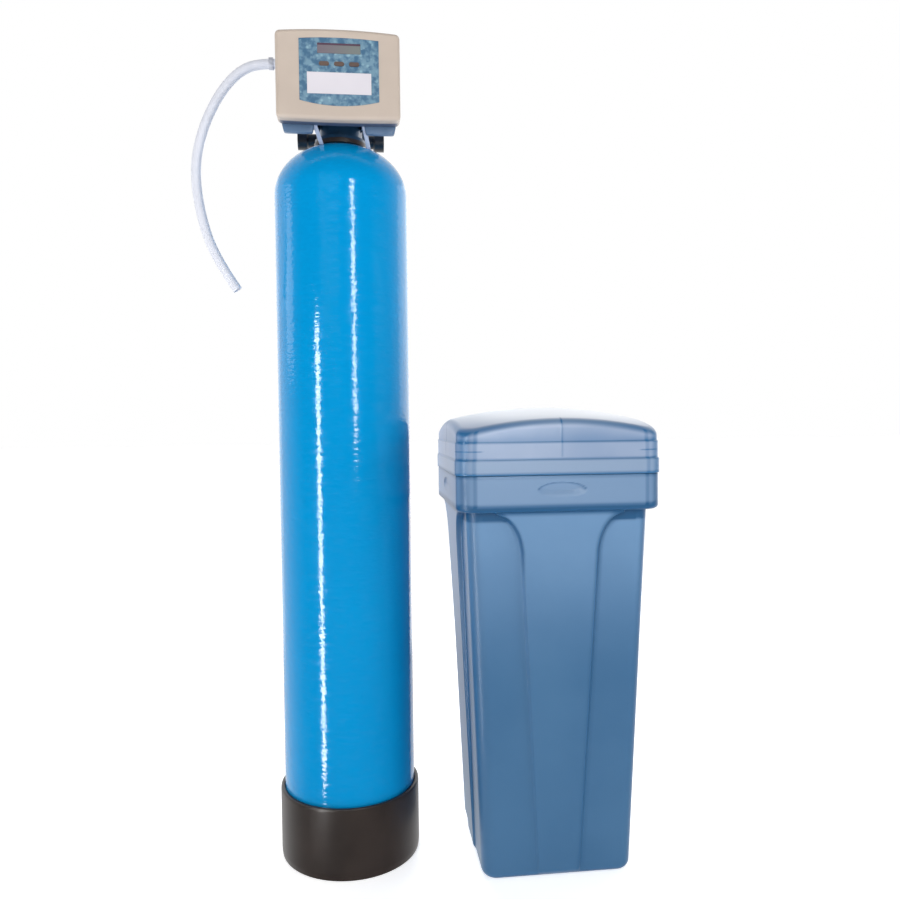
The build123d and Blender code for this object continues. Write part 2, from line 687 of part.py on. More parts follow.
def control_overlay():
    overlay = overlay_outline(0, OVERLAY_FRONT, OVERLAY_BACK)
    for cut in panel_cuts(SEAT_GAP, OVERLAY_FRONT - 1, OVERLAY_BACK + 1):
        overlay -= cut
    return overlay


def display_window():
    return panel_plate(DISPLAY_WIDTH, DISPLAY_HEIGHT, DISPLAY_UP, OVERLAY_FRONT, PANEL_INNER)


def label_plate():
    return panel_plate(LABEL_WIDTH, LABEL_HEIGHT, LABEL_UP, OVERLAY_FRONT - LABEL_THICK, OVERLAY_FRONT)


def push_button(x, z):
    front = OVERLAY_FRONT - BUTTON_PROUD
    flange = PANEL_INNER + SEAT_GAP
    stem_end = BOARD_FRONT - SWITCH_HIGH - BUTTON_TRAVEL - SEAT_GAP
    button = panel_oval(BUTTON_WIDTH, BUTTON_HEIGHT, x, z, front, flange)
    half = BUTTON_HEIGHT / 2 + 1
    reach = BUTTON_WIDTH / 2
    button += block((x - reach, flange, z - half), (x + reach, flange + BUTTON_FLANGE, z + half))
    stem = SWITCH_SIZE / 4
    return button + block((x - stem, flange, z - stem), (x + stem, stem_end, z + stem))


def display_module():
    return panel_plate(DISPLAY_WIDTH + 4, DISPLAY_HEIGHT + 4, DISPLAY_UP, PANEL_INNER + SEAT_GAP, BOARD_FRONT)


def circuit_board():
    half = BOARD_WIDTH / 2
    board = block((-half, BOARD_FRONT, HEAD_BOTTOM + BOARD_LOW), (half, BOARD_BACK, HEAD_BOTTOM + BOARD_HIGH))
    grip = SWITCH_SIZE / 2
    for name, x, z in button_places():
        board += block((x - grip, BOARD_FRONT - SWITCH_HIGH, z - grip), (x + grip, BOARD_FRONT, z + grip))
    return board


def rear_housing():
    """Tub behind the cover; its underside rises to the back and is cut away round the valve."""
    depth = HOUSING_BACK - HOUSING_FRONT
    body = extrude(head_outline(HOUSING_INSET, HOUSING_BACK), depth)
    body += extrude(head_outline(RIM_INSET, HOUSING_FRONT + RIM_THICK), RIM_THICK)
    inner = extrude(head_outline(HOUSING_INSET + HOUSING_WALL, HOUSING_BACK - HOUSING_WALL), depth)
    wide = HEAD_WIDTH
    low = HEAD_BOTTOM + HOUSING_INSET - HEAD_SAG
    rise = low + HOUSING_SLOPE_RISE

    def below(lift):
        """Everything under the sloping underside, raised by the lift."""
        corners = [
            (HOUSING_SLOPE_START, low + lift), (HOUSING_BACK + 1, rise + lift),
            (HOUSING_BACK + 1, low - 20), (HOUSING_SLOPE_START, low - 20),
        ]
        return extrude(Plane.YZ * make_face(Polyline(*corners, close=True)), wide, both=True)

    housing = (body - below(0)) - (inner - below(HOUSING_WALL))
    notch = VALVE_NECK_RADIUS + NOTCH_GAP
    notch_top = PORT_Z + PORT_RADIUS + NOTCH_GAP
    housing -= block((-notch, HOUSING_FRONT - 1, low - 20), (notch, notch, notch_top))
    ports = PORT_SPREAD + PORT_RADIUS + NOTCH_GAP
    housing -= block((-ports, -NOTCH_GAP, low - 20), (ports, HOUSING_BACK + 1, notch_top))
    slot = DRAIN_RADIUS + NOTCH_GAP
    housing -= block((-wide, DRAIN_Y - slot, DRAIN_Z - slot), (-wide / 4, DRAIN_Y + slot, DRAIN_Z + slot))
    line = BRINE_RADIUS + NOTCH_GAP
    brine_z = CHAMBER_Z + BRINE_RISE
    housing -= block((BRINE_X - line, 0, brine_z - line), (BRINE_X + line, HOUSING_BACK + 1, brine_z + line))
    return housing


# Water connections
def bent_pipe(points, outer, bore):
    """Moulded pipe with square mitred corners."""
    path = Polyline(*points)
    start = Plane(path @ 0, z_dir=path % 0)
    solid = sweep(start * Circle(outer), path, transition=Transition.RIGHT)
    return solid - sweep(start * Circle(bore), path, transition=Transition.RIGHT)


def port_elbow(side):
    """Elbow from the back of the valve to the side, with a lip that holds the union nut on."""
    x = side * PORT_SPREAD
    y = PORT_FACE + ELBOW_REACH
    end = x + side * ELBOW_ARM
    elbow = bent_pipe([(x, PORT_FACE, PORT_Z), (x, y, PORT_Z), (end, y, PORT_Z)], ELBOW_RADIUS, PORT_BORE)
    left, right = sorted((end, end - side * ELBOW_LIP))
    lip = rod_x(NUT_THREAD - SEAT_GAP, left, right, y, PORT_Z)
    return elbow + (lip - rod_x(ELBOW_RADIUS - 1, left, right, y, PORT_Z))


def port_nut(side):
    y = PORT_FACE + ELBOW_REACH
    seat = PORT_SPREAD + ELBOW_ARM - ELBOW_LIP - SEAT_GAP
    start = seat - NUT_SHOULDER
    thread = seat + ELBOW_LIP + 2 * SEAT_GAP
    end = thread + NUT_THREAD_LENGTH
    bore = ELBOW_RADIUS + SEAT_GAP
    relief = NUT_THREAD + NUT_RELIEF
    nut = lathe([
        (bore, start), (NUT_RADIUS - NUT_EDGE, start), (NUT_RADIUS, start + NUT_EDGE), (NUT_RADIUS, end),
        (NUT_THREAD, end), (NUT_THREAD, thread), (relief, thread), (relief, seat), (bore, seat),
    ])
    return Pos(0, y, PORT_Z) * Rot(0, 90 * side, 0) * nut


def drain_elbow():
    low = CHAMBER_Z + DRAIN_BOSS_RISE
    return bent_pipe([(DRAIN_X, DRAIN_Y, low), (DRAIN_X, DRAIN_Y, DRAIN_Z), (DRAIN_END, DRAIN_Y, DRAIN_Z)],
                     DRAIN_RADIUS, DRAIN_BORE)


def brine_elbow():
    low = CHAMBER_Z + BRINE_BOSS_RISE
    z = CHAMBER_Z + BRINE_RISE
    elbow = bent_pipe([(BRINE_X, BRINE_Y, low), (BRINE_X, BRINE_Y, z), (BRINE_X, BRINE_END, z)],
                      BRINE_RADIUS, BRINE_LINE / 2)
    return elbow - rod_y(BRINE_LINE, BRINE_END - BRINE_LINE_DEPTH, BRINE_END + 1, BRINE_X, z)


def injector_cap():
    outline = Plane.YZ * RegularPolygon(INJECTOR_CAP_RADIUS, 6)
    return Pos(INJECTOR_END, INJECTOR_Y, CHAMBER_Z) * extrude(outline, INJECTOR_CAP_LENGTH)


def hose_clip():
    x = DRAIN_END - CLIP_OFFSET
    inner = HOSE_RADIUS + SEAT_GAP
    outer = inner + CLIP_WALL
    band = rod_x(outer, x - CLIP_WIDTH, x, DRAIN_Y, DRAIN_Z)
    return band - rod_x(inner, x - 2 * CLIP_WIDTH, x + 1, DRAIN_Y, DRAIN_Z)


def corner_radii(points):
    """Arc for each corner of a route: 0.45 of the shorter run over the tangent of half the turn."""
    radii = []
    for a, b, c in zip(points, points[1:], points[2:]):
        before = Vector(*b) - Vector(*a)
        after = Vector(*c) - Vector(*b)
        half_turn = math.radians(before.get_angle(after) / 2)
        radii.append(0.45 * min(before.length, after.length) / math.tan(half_turn))
    return radii


def drain_hose():
    lift = DRAIN_Z - HOSE_ROUTE[0][1]
    points = [(x, DRAIN_Y, z + lift) for x, z in HOSE_ROUTE]
    radii = corner_radii(points)
    path = FilletPolyline(*points, radius=radii)
    hose = sweep(Plane(path @ 0, z_dir=path % 0) * Circle(HOSE_RADIUS), path)
    expected = math.pi * HOSE_RADIUS**2 * path.length
    print("hose bend radii", [round(r) for r in radii], "length", round(path.length),
          "volume over section x length", round(hose.volume / expected, 4))
    return hose


# Salt tank, drawn about its own centre line and then set beside the vessel
def square_bar(half, corner, low, high):
    """Upright bar with a rounded square section."""
    return extrude(Pos(0, 0, low) * RectangleRounded(2 * half, 2 * half, corner), high - low)


def tapered_form(low_half, high_half, low, high, corner):
    """Square form with rounded upright corners that widens upwards."""
    corners = [(-low_half, low), (low_half, low), (high_half, high), (-high_half, high)]
    side = make_face(Polyline(*corners, close=True))
    across = extrude(Plane.XZ * side, high_half, both=True)
    form = across & Rot(0, 0, 90) * across
    upright = form.edges().filter_by(lambda edge: abs(edge.tangent_at(0.5).Z) > 0.5)
    return fillet(upright, corner)


def half_at(z, proud_low=0.0, proud_high=0.0):
    """Half width of the tub's faces at a height, with what stands proud of them."""
    share = z / COLLAR_LOW
    return TUB_LOW_HALF + proud_low + (TUB_HIGH_HALF + proud_high - TUB_LOW_HALF - proud_low) * share


def pilaster_outline(inset, top):
    """Front outline of the raised centre panel, which flares out below the collar."""
    low = TUB_FOOT_EDGE / 2 + inset
    flare = PILASTER_FLARE + inset
    narrow = PILASTER_LOW_WIDTH / 2 - inset
    wide = PILASTER_HIGH_WIDTH / 2 - inset
    start = PILASTER_FLARE_START
    reach = wide + flare
    bend = (wide + flare * (1 - math.cos(math.pi / 4)), start + flare * math.sin(math.pi / 4))
    edges = [
        Line((-narrow, low), (narrow, low)),
        Line((narrow, low), (wide, start)),
        ThreePointArc((wide, start), bend, (reach, start + flare)),
        Line((reach, start + flare), (reach, top)),
        Line((reach, top), (-reach, top)),
        Line((-reach, top), (-reach, start + flare)),
        ThreePointArc((-reach, start + flare), (-bend[0], bend[1]), (-wide, start)),
        Line((-wide, start), (-narrow, low)),
    ]
    return make_face(edges)


def tub_form(inset, top):
    """Outside of the tub, or its inside when drawn in by the wall."""
    low = inset
    corner = TUB_CORNER - inset
    body = tapered_form(half_at(low) - inset, half_at(top) - inset, low, top, corner)
    body = fillet(body.faces().sort_by(Axis.Z)[0].edges(), TUB_FOOT_EDGE - inset)
    raised = tapered_form(half_at(low, PILASTER_LOW_PROUD, PILASTER_HIGH_PROUD) - inset,
                          half_at(top, PILASTER_LOW_PROUD, PILASTER_HIGH_PROUD) - inset,
                          low, top, corner)
    panel = extrude(Plane.XZ * pilaster_outline(inset, top), 2 * COLLAR_HALF, both=True) & raised
    body += panel
    body += Rot(0, 0, 90) * panel
    return body


def salt_tub():
    outer = tub_form(0, COLLAR_LOW)
    collar = square_bar(COLLAR_HALF, COLLAR_CORNER, COLLAR_LOW, LEDGE_HEIGHT)
    collar = fillet(collar.faces().sort_by(Axis.Z)[0].edges(), COLLAR_EDGE)
    lip_top = LEDGE_HEIGHT + RIM_LIP_HEIGHT
    lip_corner = COLLAR_CORNER - COLLAR_HALF + RIM_LIP_HALF
    tub = outer + collar + square_bar(RIM_LIP_HALF, lip_corner, LEDGE_HEIGHT, lip_top)
    room_low = COLLAR_LOW + TUB_WALL
    room_high = LEDGE_HEIGHT - TUB_WALL
    tub -= tub_form(TUB_WALL, room_low + 1)
    tub -= square_bar(COLLAR_HALF - TUB_WALL, COLLAR_CORNER - TUB_WALL, room_low, room_high)
    tub -= square_bar(RIM_LIP_HALF - TUB_WALL, lip_corner - TUB_WALL, room_high - 1, lip_top + 1)
    for turn in range(4):
        tub -= Rot(0, 0, 90 * turn) * scoop()
    tub -= rear_wall(OVERFLOW_X) * Cylinder(OVERFLOW_RADIUS + SEAT_GAP, 4 * TUB_WALL)
    return tub - rear_wall(LINE_HOLE_X) * Cylinder(LINE_HOLE_RADIUS, 4 * TUB_WALL)


def rear_wall(x):
    """Place on the outside of the rear wall, with Z square to it and outwards."""
    slope = math.degrees(math.atan(TUB_SLOPE))
    return Pos(x, half_at(OVERFLOW_UP), OVERFLOW_UP) * Rot(-90 - slope, 0, 0)


def scoop():
    """Shallow oval finger grip in the middle of the collar's front."""
    outline = SlotOverall(SCOOP_WIDTH, SCOOP_HEIGHT)
    front = -COLLAR_HALF
    up = COLLAR_LOW + SCOOP_UP
    inner = SlotOverall(SCOOP_WIDTH - 14, SCOOP_HEIGHT - 14)
    return loft([
        Pos(0, front + SCOOP_DEPTH - TUB_WALL / 2, up) * (Plane.XZ * inner),
        Pos(0, front - 1, up) * (Plane.XZ * outline),
    ])


def dome_cap(drop):
    """Ball whose top is the lid's crown, lowered by the drop; its poles lie to the sides."""
    ball = Rot(0, 90, 0) * Sphere(LID_CROWN_RADIUS - drop)
    return Pos(0, 0, LID_TOP - LID_CROWN_RADIUS) * ball


def lid_form(inset, drop, low):
    """Outside of the lid, or its inside when drawn in by the wall."""
    upper = square_bar(COLLAR_HALF - inset, COLLAR_CORNER - inset, low, LID_TOP)
    return upper & dome_cap(drop)


def salt_lid():
    low = LEDGE_HEIGHT + SEAT_GAP
    lid = lid_form(0, 0, low)
    top = lid.faces().sort_by(Axis.Z)[-1]
    lid = chamfer(top.edges(), LID_EDGE)
    bead = square_bar(COLLAR_HALF + LID_BEAD_PROUD, COLLAR_CORNER + LID_BEAD_PROUD, low, low + LID_BEAD)
    bead = chamfer(bead.faces().sort_by(Axis.Z)[-1].edges() + bead.faces().sort_by(Axis.Z)[0].edges(),
                   LID_BEAD_PROUD)
    lid += bead
    return lid - lid_form(LID_WALL, LID_WALL, low - 1)


def brine_well():
    x = WELL_OFFSET
    low = TUB_WALL + SEAT_GAP
    well = rod_z(WELL_RADIUS, low, WELL_TOP, x, x)
    well -= rod_z(WELL_RADIUS - WELL_WALL, low - 1, WELL_TOP + 1, x, x)
    well -= Pos(x, x, 0) * slot_bars(WELL_RADIUS + 1, WELL_SLOT, low + 20, low + 90, 2)
    return well


def well_cap():
    x = WELL_OFFSET
    bore = WELL_RADIUS + SEAT_GAP
    top = WELL_TOP + SEAT_GAP + WELL_CAP_THICK
    outer = rod_z(bore + WELL_WALL, WELL_TOP - WELL_CAP_SKIRT, top, x, x)
    return outer - rod_z(bore, WELL_TOP - WELL_CAP_SKIRT - 1, WELL_TOP + SEAT_GAP, x, x)


def brine_valve():
    """Guide block clipped across the well, which holds the pickup tube and the float's rod."""
    x = WELL_OFFSET
    half = ARM_SIZE / 2
    body = extrude(Pos(x, x, GUIDE_LOW) * SlotOverall(GUIDE_LENGTH, GUIDE_WIDTH), GUIDE_HIGH - GUIDE_LOW)
    body += block((x - WELL_RADIUS, x - half, GUIDE_LOW), (x + WELL_RADIUS, x + half, GUIDE_LOW + ARM_SIZE))
    body &= rod_z(WELL_RADIUS - WELL_WALL - SEAT_GAP, GUIDE_LOW, GUIDE_HIGH, x, x)
    port = GUIDE_HIGH - BRINE_LINE_DEPTH
    body -= rod_z(BRINE_LINE, port, GUIDE_HIGH + 1, x + PICKUP_OFFSET, x)
    body -= rod_z(PICKUP_RADIUS, GUIDE_LOW - 1, port - PORT_STEP, x + PICKUP_OFFSET, x)
    return body - rod_z(FLOAT_ROD_RADIUS + RUN_GAP, GUIDE_LOW - 1, GUIDE_HIGH + 1, x + FLOAT_ROD_OFFSET, x)


def pickup_tube():
    x = WELL_OFFSET
    high = GUIDE_HIGH - BRINE_LINE_DEPTH - PORT_STEP
    low = PICKUP_LOW - 1
    tube = rod_z(PICKUP_RADIUS, PICKUP_LOW, high, x + PICKUP_OFFSET, x)
    return tube - rod_z(PICKUP_RADIUS - PICKUP_WALL, low, high + 1, x + PICKUP_OFFSET, x)


def air_check():
    x = WELL_OFFSET + PICKUP_OFFSET
    return rod_z(CHECK_RADIUS, PICKUP_LOW - CHECK_HEIGHT, PICKUP_LOW, x, WELL_OFFSET)


def float_rod():
    x = WELL_OFFSET + FLOAT_ROD_OFFSET
    rod = rod_z(FLOAT_ROD_RADIUS, FLOAT_ROD_LOW, WELL_TOP - FLOAT_ROD_OVER - FLOAT_RISE, x, WELL_OFFSET)
    seat = GUIDE_HIGH + SEAT_GAP
    stop = rod_z(2 * FLOAT_ROD_RADIUS, seat, seat + FLOAT_STOP_THICK, x, WELL_OFFSET)
    return rod + stop


def brine_float():
    x = WELL_OFFSET + FLOAT_ROD_OFFSET
    body = rod_z(FLOAT_RADIUS, FLOAT_LOW, FLOAT_LOW + FLOAT_HEIGHT, x, WELL_OFFSET)
    return body - rod_z(FLOAT_ROD_RADIUS, 0, WELL_TOP, x, WELL_OFFSET)


def overflow_elbow():
    """Spigot through the rear wall with a flange outside and a barb for the overflow hose."""
    tail = -TUB_WALL - OVERFLOW_NUT_THICK - 2 * SEAT_GAP
    end = OVERFLOW_OUT
    spigot = lathe([
        (OVERFLOW_BARB - 2, tail), (OVERFLOW_RADIUS, tail), (OVERFLOW_RADIUS, SEAT_GAP),
        (OVERFLOW_FLANGE, SEAT_GAP), (OVERFLOW_FLANGE, SEAT_GAP + OVERFLOW_FLANGE_THICK),
        (OVERFLOW_BARB, SEAT_GAP + OVERFLOW_FLANGE_THICK), (OVERFLOW_BARB, end), (OVERFLOW_BARB - 2, end),
    ])
    return rear_wall(OVERFLOW_X) * spigot


def overflow_nut():
    outline = RegularPolygon(OVERFLOW_FLANGE, 6) - Circle(OVERFLOW_RADIUS + SEAT_GAP)
    nut = extrude(outline, OVERFLOW_NUT_THICK)
    return rear_wall(OVERFLOW_X) * (Pos(0, 0, -TUB_WALL - SEAT_GAP - OVERFLOW_NUT_THICK) * nut)


VESSEL_SIDE = {
    "vessel_shell": vessel_shell,
    "vessel_boot": vessel_boot,
    "neck_ring": neck_ring,
    "riser_tube": riser_tube,
    "bottom_basket": bottom_basket,
    "top_basket": top_basket,
    "gravel_bed": gravel_bed,
    "resin_bed": resin_bed,
    "valve_body": valve_body,
    "neck_seal": neck_seal,
    "chamber_cap": chamber_cap,
    "seal_stack": seal_stack,
    "main_piston": main_piston,
    "drive_gear": drive_gear,
    "reduction_gear": reduction_gear,
    "motor_pinion": motor_pinion,
    "gear_axle": gear_axle,
    "drive_motor": drive_motor,
    "drive_bracket": drive_bracket,
    "front_cover": front_cover,
    "control_overlay": control_overlay,
    "display_window": display_window,
    "label_plate": label_plate,
    "display_module": display_module,
    "circuit_board": circuit_board,
    "rear_housing": rear_housing,
    "drain_elbow": drain_elbow,
    "brine_elbow": brine_elbow,
    "injector_cap": injector_cap,
    "hose_clip": hose_clip,
    "drain_hose": drain_hose,
}
TANK_SIDE = {
    "salt_tub": salt_tub,
    "salt_lid": salt_lid,
    "brine_well": brine_well,
    "well_cap": well_cap,
    "brine_valve": brine_valve,
    "pickup_tube": pickup_tube,
    "air_check": air_check,
    "float_rod": float_rod,
    "brine_float": brine_float,
    "overflow_elbow": overflow_elbow,
    "overflow_nut": overflow_nut,
}

os.makedirs("parts", exist_ok=True)
pieces = {node: make() for node, make in VESSEL_SIDE.items()}
for port, side in (("inlet", -1), ("outlet", 1)):
    pieces[port + "_elbow"] = port_elbow(side)
    pieces[port + "_nut"] = port_nut(side)
for place, x, z in button_places():
    pieces["button_" + place] = push_button(x, z)
for node, make in TANK_SIDE.items():
    pieces[node] = Pos(TUB_X, TUB_Y, 0) * make()
for node, piece in pieces.items():
    export_step(piece, "parts/" + node + ".step")
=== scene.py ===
import math
import bmesh
import bpy
import numpy as np
from mathutils import Matrix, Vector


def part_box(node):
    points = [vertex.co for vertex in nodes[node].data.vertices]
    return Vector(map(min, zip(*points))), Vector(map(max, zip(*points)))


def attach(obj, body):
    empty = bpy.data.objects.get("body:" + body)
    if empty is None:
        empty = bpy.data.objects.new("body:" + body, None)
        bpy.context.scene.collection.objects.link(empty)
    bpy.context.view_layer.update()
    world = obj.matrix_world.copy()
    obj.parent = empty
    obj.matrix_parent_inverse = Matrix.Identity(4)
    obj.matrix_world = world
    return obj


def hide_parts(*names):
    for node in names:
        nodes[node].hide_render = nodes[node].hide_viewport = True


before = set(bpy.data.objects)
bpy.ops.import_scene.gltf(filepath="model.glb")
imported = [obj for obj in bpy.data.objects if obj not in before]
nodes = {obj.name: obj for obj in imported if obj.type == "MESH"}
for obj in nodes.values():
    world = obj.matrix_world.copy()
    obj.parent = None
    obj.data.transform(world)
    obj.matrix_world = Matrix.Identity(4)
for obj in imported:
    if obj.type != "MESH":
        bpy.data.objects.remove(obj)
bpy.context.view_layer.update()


# The view. The set was taken from 1.6 m in front of the vessel and 85 cm up, turned a little towards the
# salt tank, tipped slightly down and a little crooked, with the field of a 32 mm lens.
TURN = math.radians(6.5)
TIP = math.radians(2.075)
ROLL = math.radians(0.65)
EYE = (0.0269, -1.6017, 0.8515)
LENS = 32.0
SENSOR = 36.0
ahead = np.array([math.sin(TURN) * math.cos(TIP), math.cos(TURN) * math.cos(TIP), -math.sin(TIP)])
level = np.array([math.cos(TURN), -math.sin(TURN), 0.0])
upright = np.cross(level, ahead)
view_right = math.cos(ROLL) * level - math.sin(ROLL) * upright
view_up = math.sin(ROLL) * level + math.cos(ROLL) * upright
placed = np.eye(4)
placed[:3, :3] = np.column_stack([view_right, view_up, -ahead])
placed[:3, 3] = EYE
camera = bpy.data.objects.new("camera", bpy.data.cameras.new("camera"))
bpy.context.scene.collection.objects.link(camera)
camera.data.lens = LENS
camera.data.sensor_width = SENSOR
camera.matrix_world = Matrix(placed.tolist())
bpy.context.scene.camera = camera
bpy.context.scene.view_settings.view_transform = "Standard"


# Drain hose. A 53 cm length of clear flexible tube, 18 mm across, is pushed on the drain elbow at the back
# of the head and hangs down in one free curve to its bare cut end.
HOSE_RADIUS = 0.009
HOSE_BORE = 0.0066
HOSE_Y = -0.022
HOSE_STEPS = 12
HOSE_SIDES = 32
HOSE_POINTS = [
    (-0.114, 1.53627), (-0.152, 1.53627), (-0.190, 1.51897), (-0.226, 1.47697), (-0.258, 1.41197),
    (-0.275, 1.33697), (-0.266, 1.24997), (-0.240, 1.16797), (-0.199, 1.10697),
]


class Wire:
    """One socket of a material's nodes. Sums, differences and products with it add Math nodes."""

    def __init__(self, tree, socket):
        self.tree = tree
        self.socket = socket

    def add(self, kind, settings=None, inputs=None, output=0):
        """Adds a node: its settings are set first, then its sockets get values or links."""
        node = self.tree.nodes.new("ShaderNode" + kind)
        for name, value in (settings or {}).items():
            setattr(node, name, value)
        for name, value in (inputs or {}).items():
            if isinstance(value, Wire):
                self.tree.links.new(value.socket, node.inputs[name])
            else:
                node.inputs[name].default_value = value
        return Wire(self.tree, node.outputs[output])

    def maths(self, operation, *values):
        """A Math node on these values, in their order."""
        return self.add("Math", {"operation": operation}, dict(enumerate(values)))

    def __add__(self, other):
        return self.maths("ADD", self, other)

    def __sub__(self, other):
        return self.maths("SUBTRACT", self, other)

    def __rsub__(self, other):
        return self.maths("SUBTRACT", other, self)

    def __mul__(self, other):
        return self.maths("MULTIPLY", self, other)

    __radd__ = __add__
    __rmul__ = __mul__

    def axis(self, name):
        """The X, Y or Z of a place or a colour."""
        return self.add("SeparateXYZ", inputs={0: self}, output=name)

    def rise(self, low, high):
        """0 below low and 1 above high, with a soft change between them."""
        return self.add("MapRange", {"interpolation_type": "SMOOTHSTEP"}, {0: self, 1: low, 2: high})

    def mix(self, first, second):
        """A colour between two others, by this share."""
        return self.add("Mix", {"data_type": "RGBA"}, {0: self, 6: first, 7: second}, 2)

    def clouded(self, dark, light):
        """A tone that drifts between two close colours as this noise does."""
        return self.rise(0.3, 0.7).mix(colour(*dark), colour(*light))

    def noise(self, scale, detail=2.0, stretch=(1.0, 1.0, 1.0)):
        """Cloudy values about a half, at that many clouds a metre on each axis."""
        place = self.add("Mapping", inputs={0: self, 3: stretch})
        return self.add("TexNoise", inputs={"Vector": place, "Scale": scale, "Detail": detail})

    def cells(self, scale, output="Distance"):
        """Distance from the middle of scattered cells, or with Color as the output each cell's own colour."""
        return self.add("TexVoronoi", inputs={"Vector": self, "Scale": scale}, output=output)


def colour(*levels):
    """A shader colour from red, green and blue on the screen's scale of 0 to 255."""
    share = np.array(levels) / 255
    linear = np.where(share > 0.04045, ((share + 0.055) / 1.055) ** 2.4, share / 12.92)
    return (*linear.tolist(), 1.0)


class Finish:
    """A material and its shader, with the place on the piece that its patterns are drawn from."""

    def __init__(self, name, **fixed):
        self.material = bpy.data.materials.new(name)
        self.material.use_nodes = True
        self.tree = self.material.node_tree
        self.shader = self.tree.nodes["Principled BSDF"]
        self.place = Wire(self.tree, self.tree.nodes.new("ShaderNodeTexCoord").outputs["Object"])
        self.set(**fixed)

    def set(self, **inputs):
        """Sets or links sockets of the shader, named with underscores for spaces."""
        for name, value in inputs.items():
            socket = self.shader.inputs[name.replace("_", " ")]
            if isinstance(value, Wire):
                self.tree.links.new(value.socket, socket)
            else:
                socket.default_value = value

    def bump(self, height, depth, strength=1.0):
        """Raises the surface by a height times the depth, in metres."""
        inputs = {"Strength": strength, "Distance": depth, "Height": height}
        self.set(Normal=self.place.add("Bump", inputs=inputs))

    def marks(self, name):
        """The values that the points of the mesh carry under this name."""
        return self.place.add("Attribute", {"attribute_name": name}, output="Fac")


def surface(name, points, material, body, sharp=40, looped=False, thick_and_shade=None):
    """A closed skin over rings of points, given as (ring, point, xyz). Each ring closes on itself. The end
    rings are joined to each other when looped, and are otherwise drawn together to a point. The last argument
    marks the points, from 0 to 1, where the plastic is thick and where shade is painted, for its material to
    read."""
    rings, around = points.shape[:2]
    index = np.arange(rings * around).reshape(rings, around)
    lower = index if looped else index[:-1]
    upper = np.roll(index, -1, 0) if looped else index[1:]
    quads = np.stack([lower, np.roll(lower, -1, 1), np.roll(upper, -1, 1), upper], -1).reshape(-1, 4)
    mesh = bpy.data.meshes.new(name)
    mesh.from_pydata(points.reshape(-1, 3).tolist(), [], quads.tolist())
    if thick_and_shade is not None:
        mesh.attributes.new("thick_and_shade", "FLOAT", "POINT").data.foreach_set("value", thick_and_shade.ravel())
    form = bmesh.new()
    form.from_mesh(mesh)
    bmesh.ops.remove_doubles(form, verts=form.verts, dist=1e-7)
    bmesh.ops.recalc_face_normals(form, faces=form.faces)
    form.to_mesh(mesh)
    form.free()
    mesh.shade_smooth()
    mesh.set_sharp_from_angle(angle=math.radians(sharp))
    mesh.materials.append(material)
    piece = bpy.data.objects.new(name, mesh)
    bpy.context.scene.collection.objects.link(piece)
    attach(piece, body)
    return piece


def spline_points(name, points, steps):
    """Points along the smooth spline whose control points are given, as Blender works it out."""
    line = bpy.data.curves.new(name, "CURVE")
    line.dimensions = "3D"
    spline = line.splines.new("NURBS")
    spline.points.add(len(points) - 1)
    spline.points.foreach_set("co", np.column_stack([points, np.ones(len(points))]).ravel())
    spline.order_u = 3
    spline.use_endpoint_u = True
    line.resolution_u = steps
    holder = bpy.data.objects.new(name, line)
    bpy.context.scene.collection.objects.link(holder)
    bpy.context.view_layer.update()
    traced = bpy.data.meshes.new_from_object(holder.evaluated_get(bpy.context.evaluated_depsgraph_get()))
    path = np.zeros(len(traced.vertices) * 3)
    traced.vertices.foreach_get("co", path)
    bpy.data.objects.remove(holder)
    return path.reshape(-1, 3)


def pipe_rings(path, radius):
    """Rings about a path in an upright plane that faces the front. Each point is the radius away from the path:
    its cosine lies in the plane, square to the path, and its sine along Y."""
    along = np.gradient(path, axis=0)
    along /= np.linalg.norm(along, axis=1, keepdims=True)
    across = np.cross(along, (0, 1, 0))
    angle = np.linspace(0, 2 * math.pi, HOSE_SIDES, endpoint=False)[None, :, None]
    return path[:, None] + radius * (np.cos(angle) * across[:, None] + np.sin(angle) * np.array((0, 1, 0)))


hose_finish = Finish("clear_hose", Roughness=0.5, IOR=1.45)
cloud = hose_finish.place.noise(60)
hose_finish.set(Base_Color=cloud.mix(colour(214, 217, 228), colour(226, 228, 236)))
hose_finish.bump(hose_finish.place.noise(220), 0.0001, 0.2)
hose_line = spline_points("hose_line", [(x, HOSE_Y, z) for x, z in HOSE_POINTS], HOSE_STEPS)
hose_skin = np.concatenate([pipe_rings(hose_line, HOSE_RADIUS), pipe_rings(hose_line, HOSE_BORE)[::-1]])
hose = surface("drain_tube", hose_skin, hose_finish.material, "base", looped=True)
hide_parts("drain_hose")


# Pressure vessel. A blow-moulded liner wound with glass rovings in resin and painted a glossy blue. The turns
# of roving still show through the paint as fine level ridges and shallow dimples, which break up its gloss.
VESSEL_RADIUS = 0.1285
VESSEL_WALL = 0.0065
VESSEL_SPRING_LOW = 0.112
VESSEL_SPRING_HIGH = 1.290
DOME_RISE = 0.100
NECK_HOLE = 0.045
RIDGE_DEPTH = 0.0005
TURNED_SIDES = 128


def dome(radius, rise, middle, low, high, steps=28):
    """Half section of a flattened dome: radius and height as a circle's, with the height scaled to the rise."""
    angle = np.linspace(low, high, steps)
    return np.column_stack([radius * np.cos(angle), middle + rise * np.sin(angle)])


def turned(section):
    """Rings of a turned piece from its half section of (radius, height)."""
    angle = np.linspace(0, 2 * math.pi, TURNED_SIDES, endpoint=False)
    radius, height = section[:, 0:1], section[:, 1:2]
    return np.stack([radius * np.cos(angle), radius * np.sin(angle), height + 0 * angle], -1)


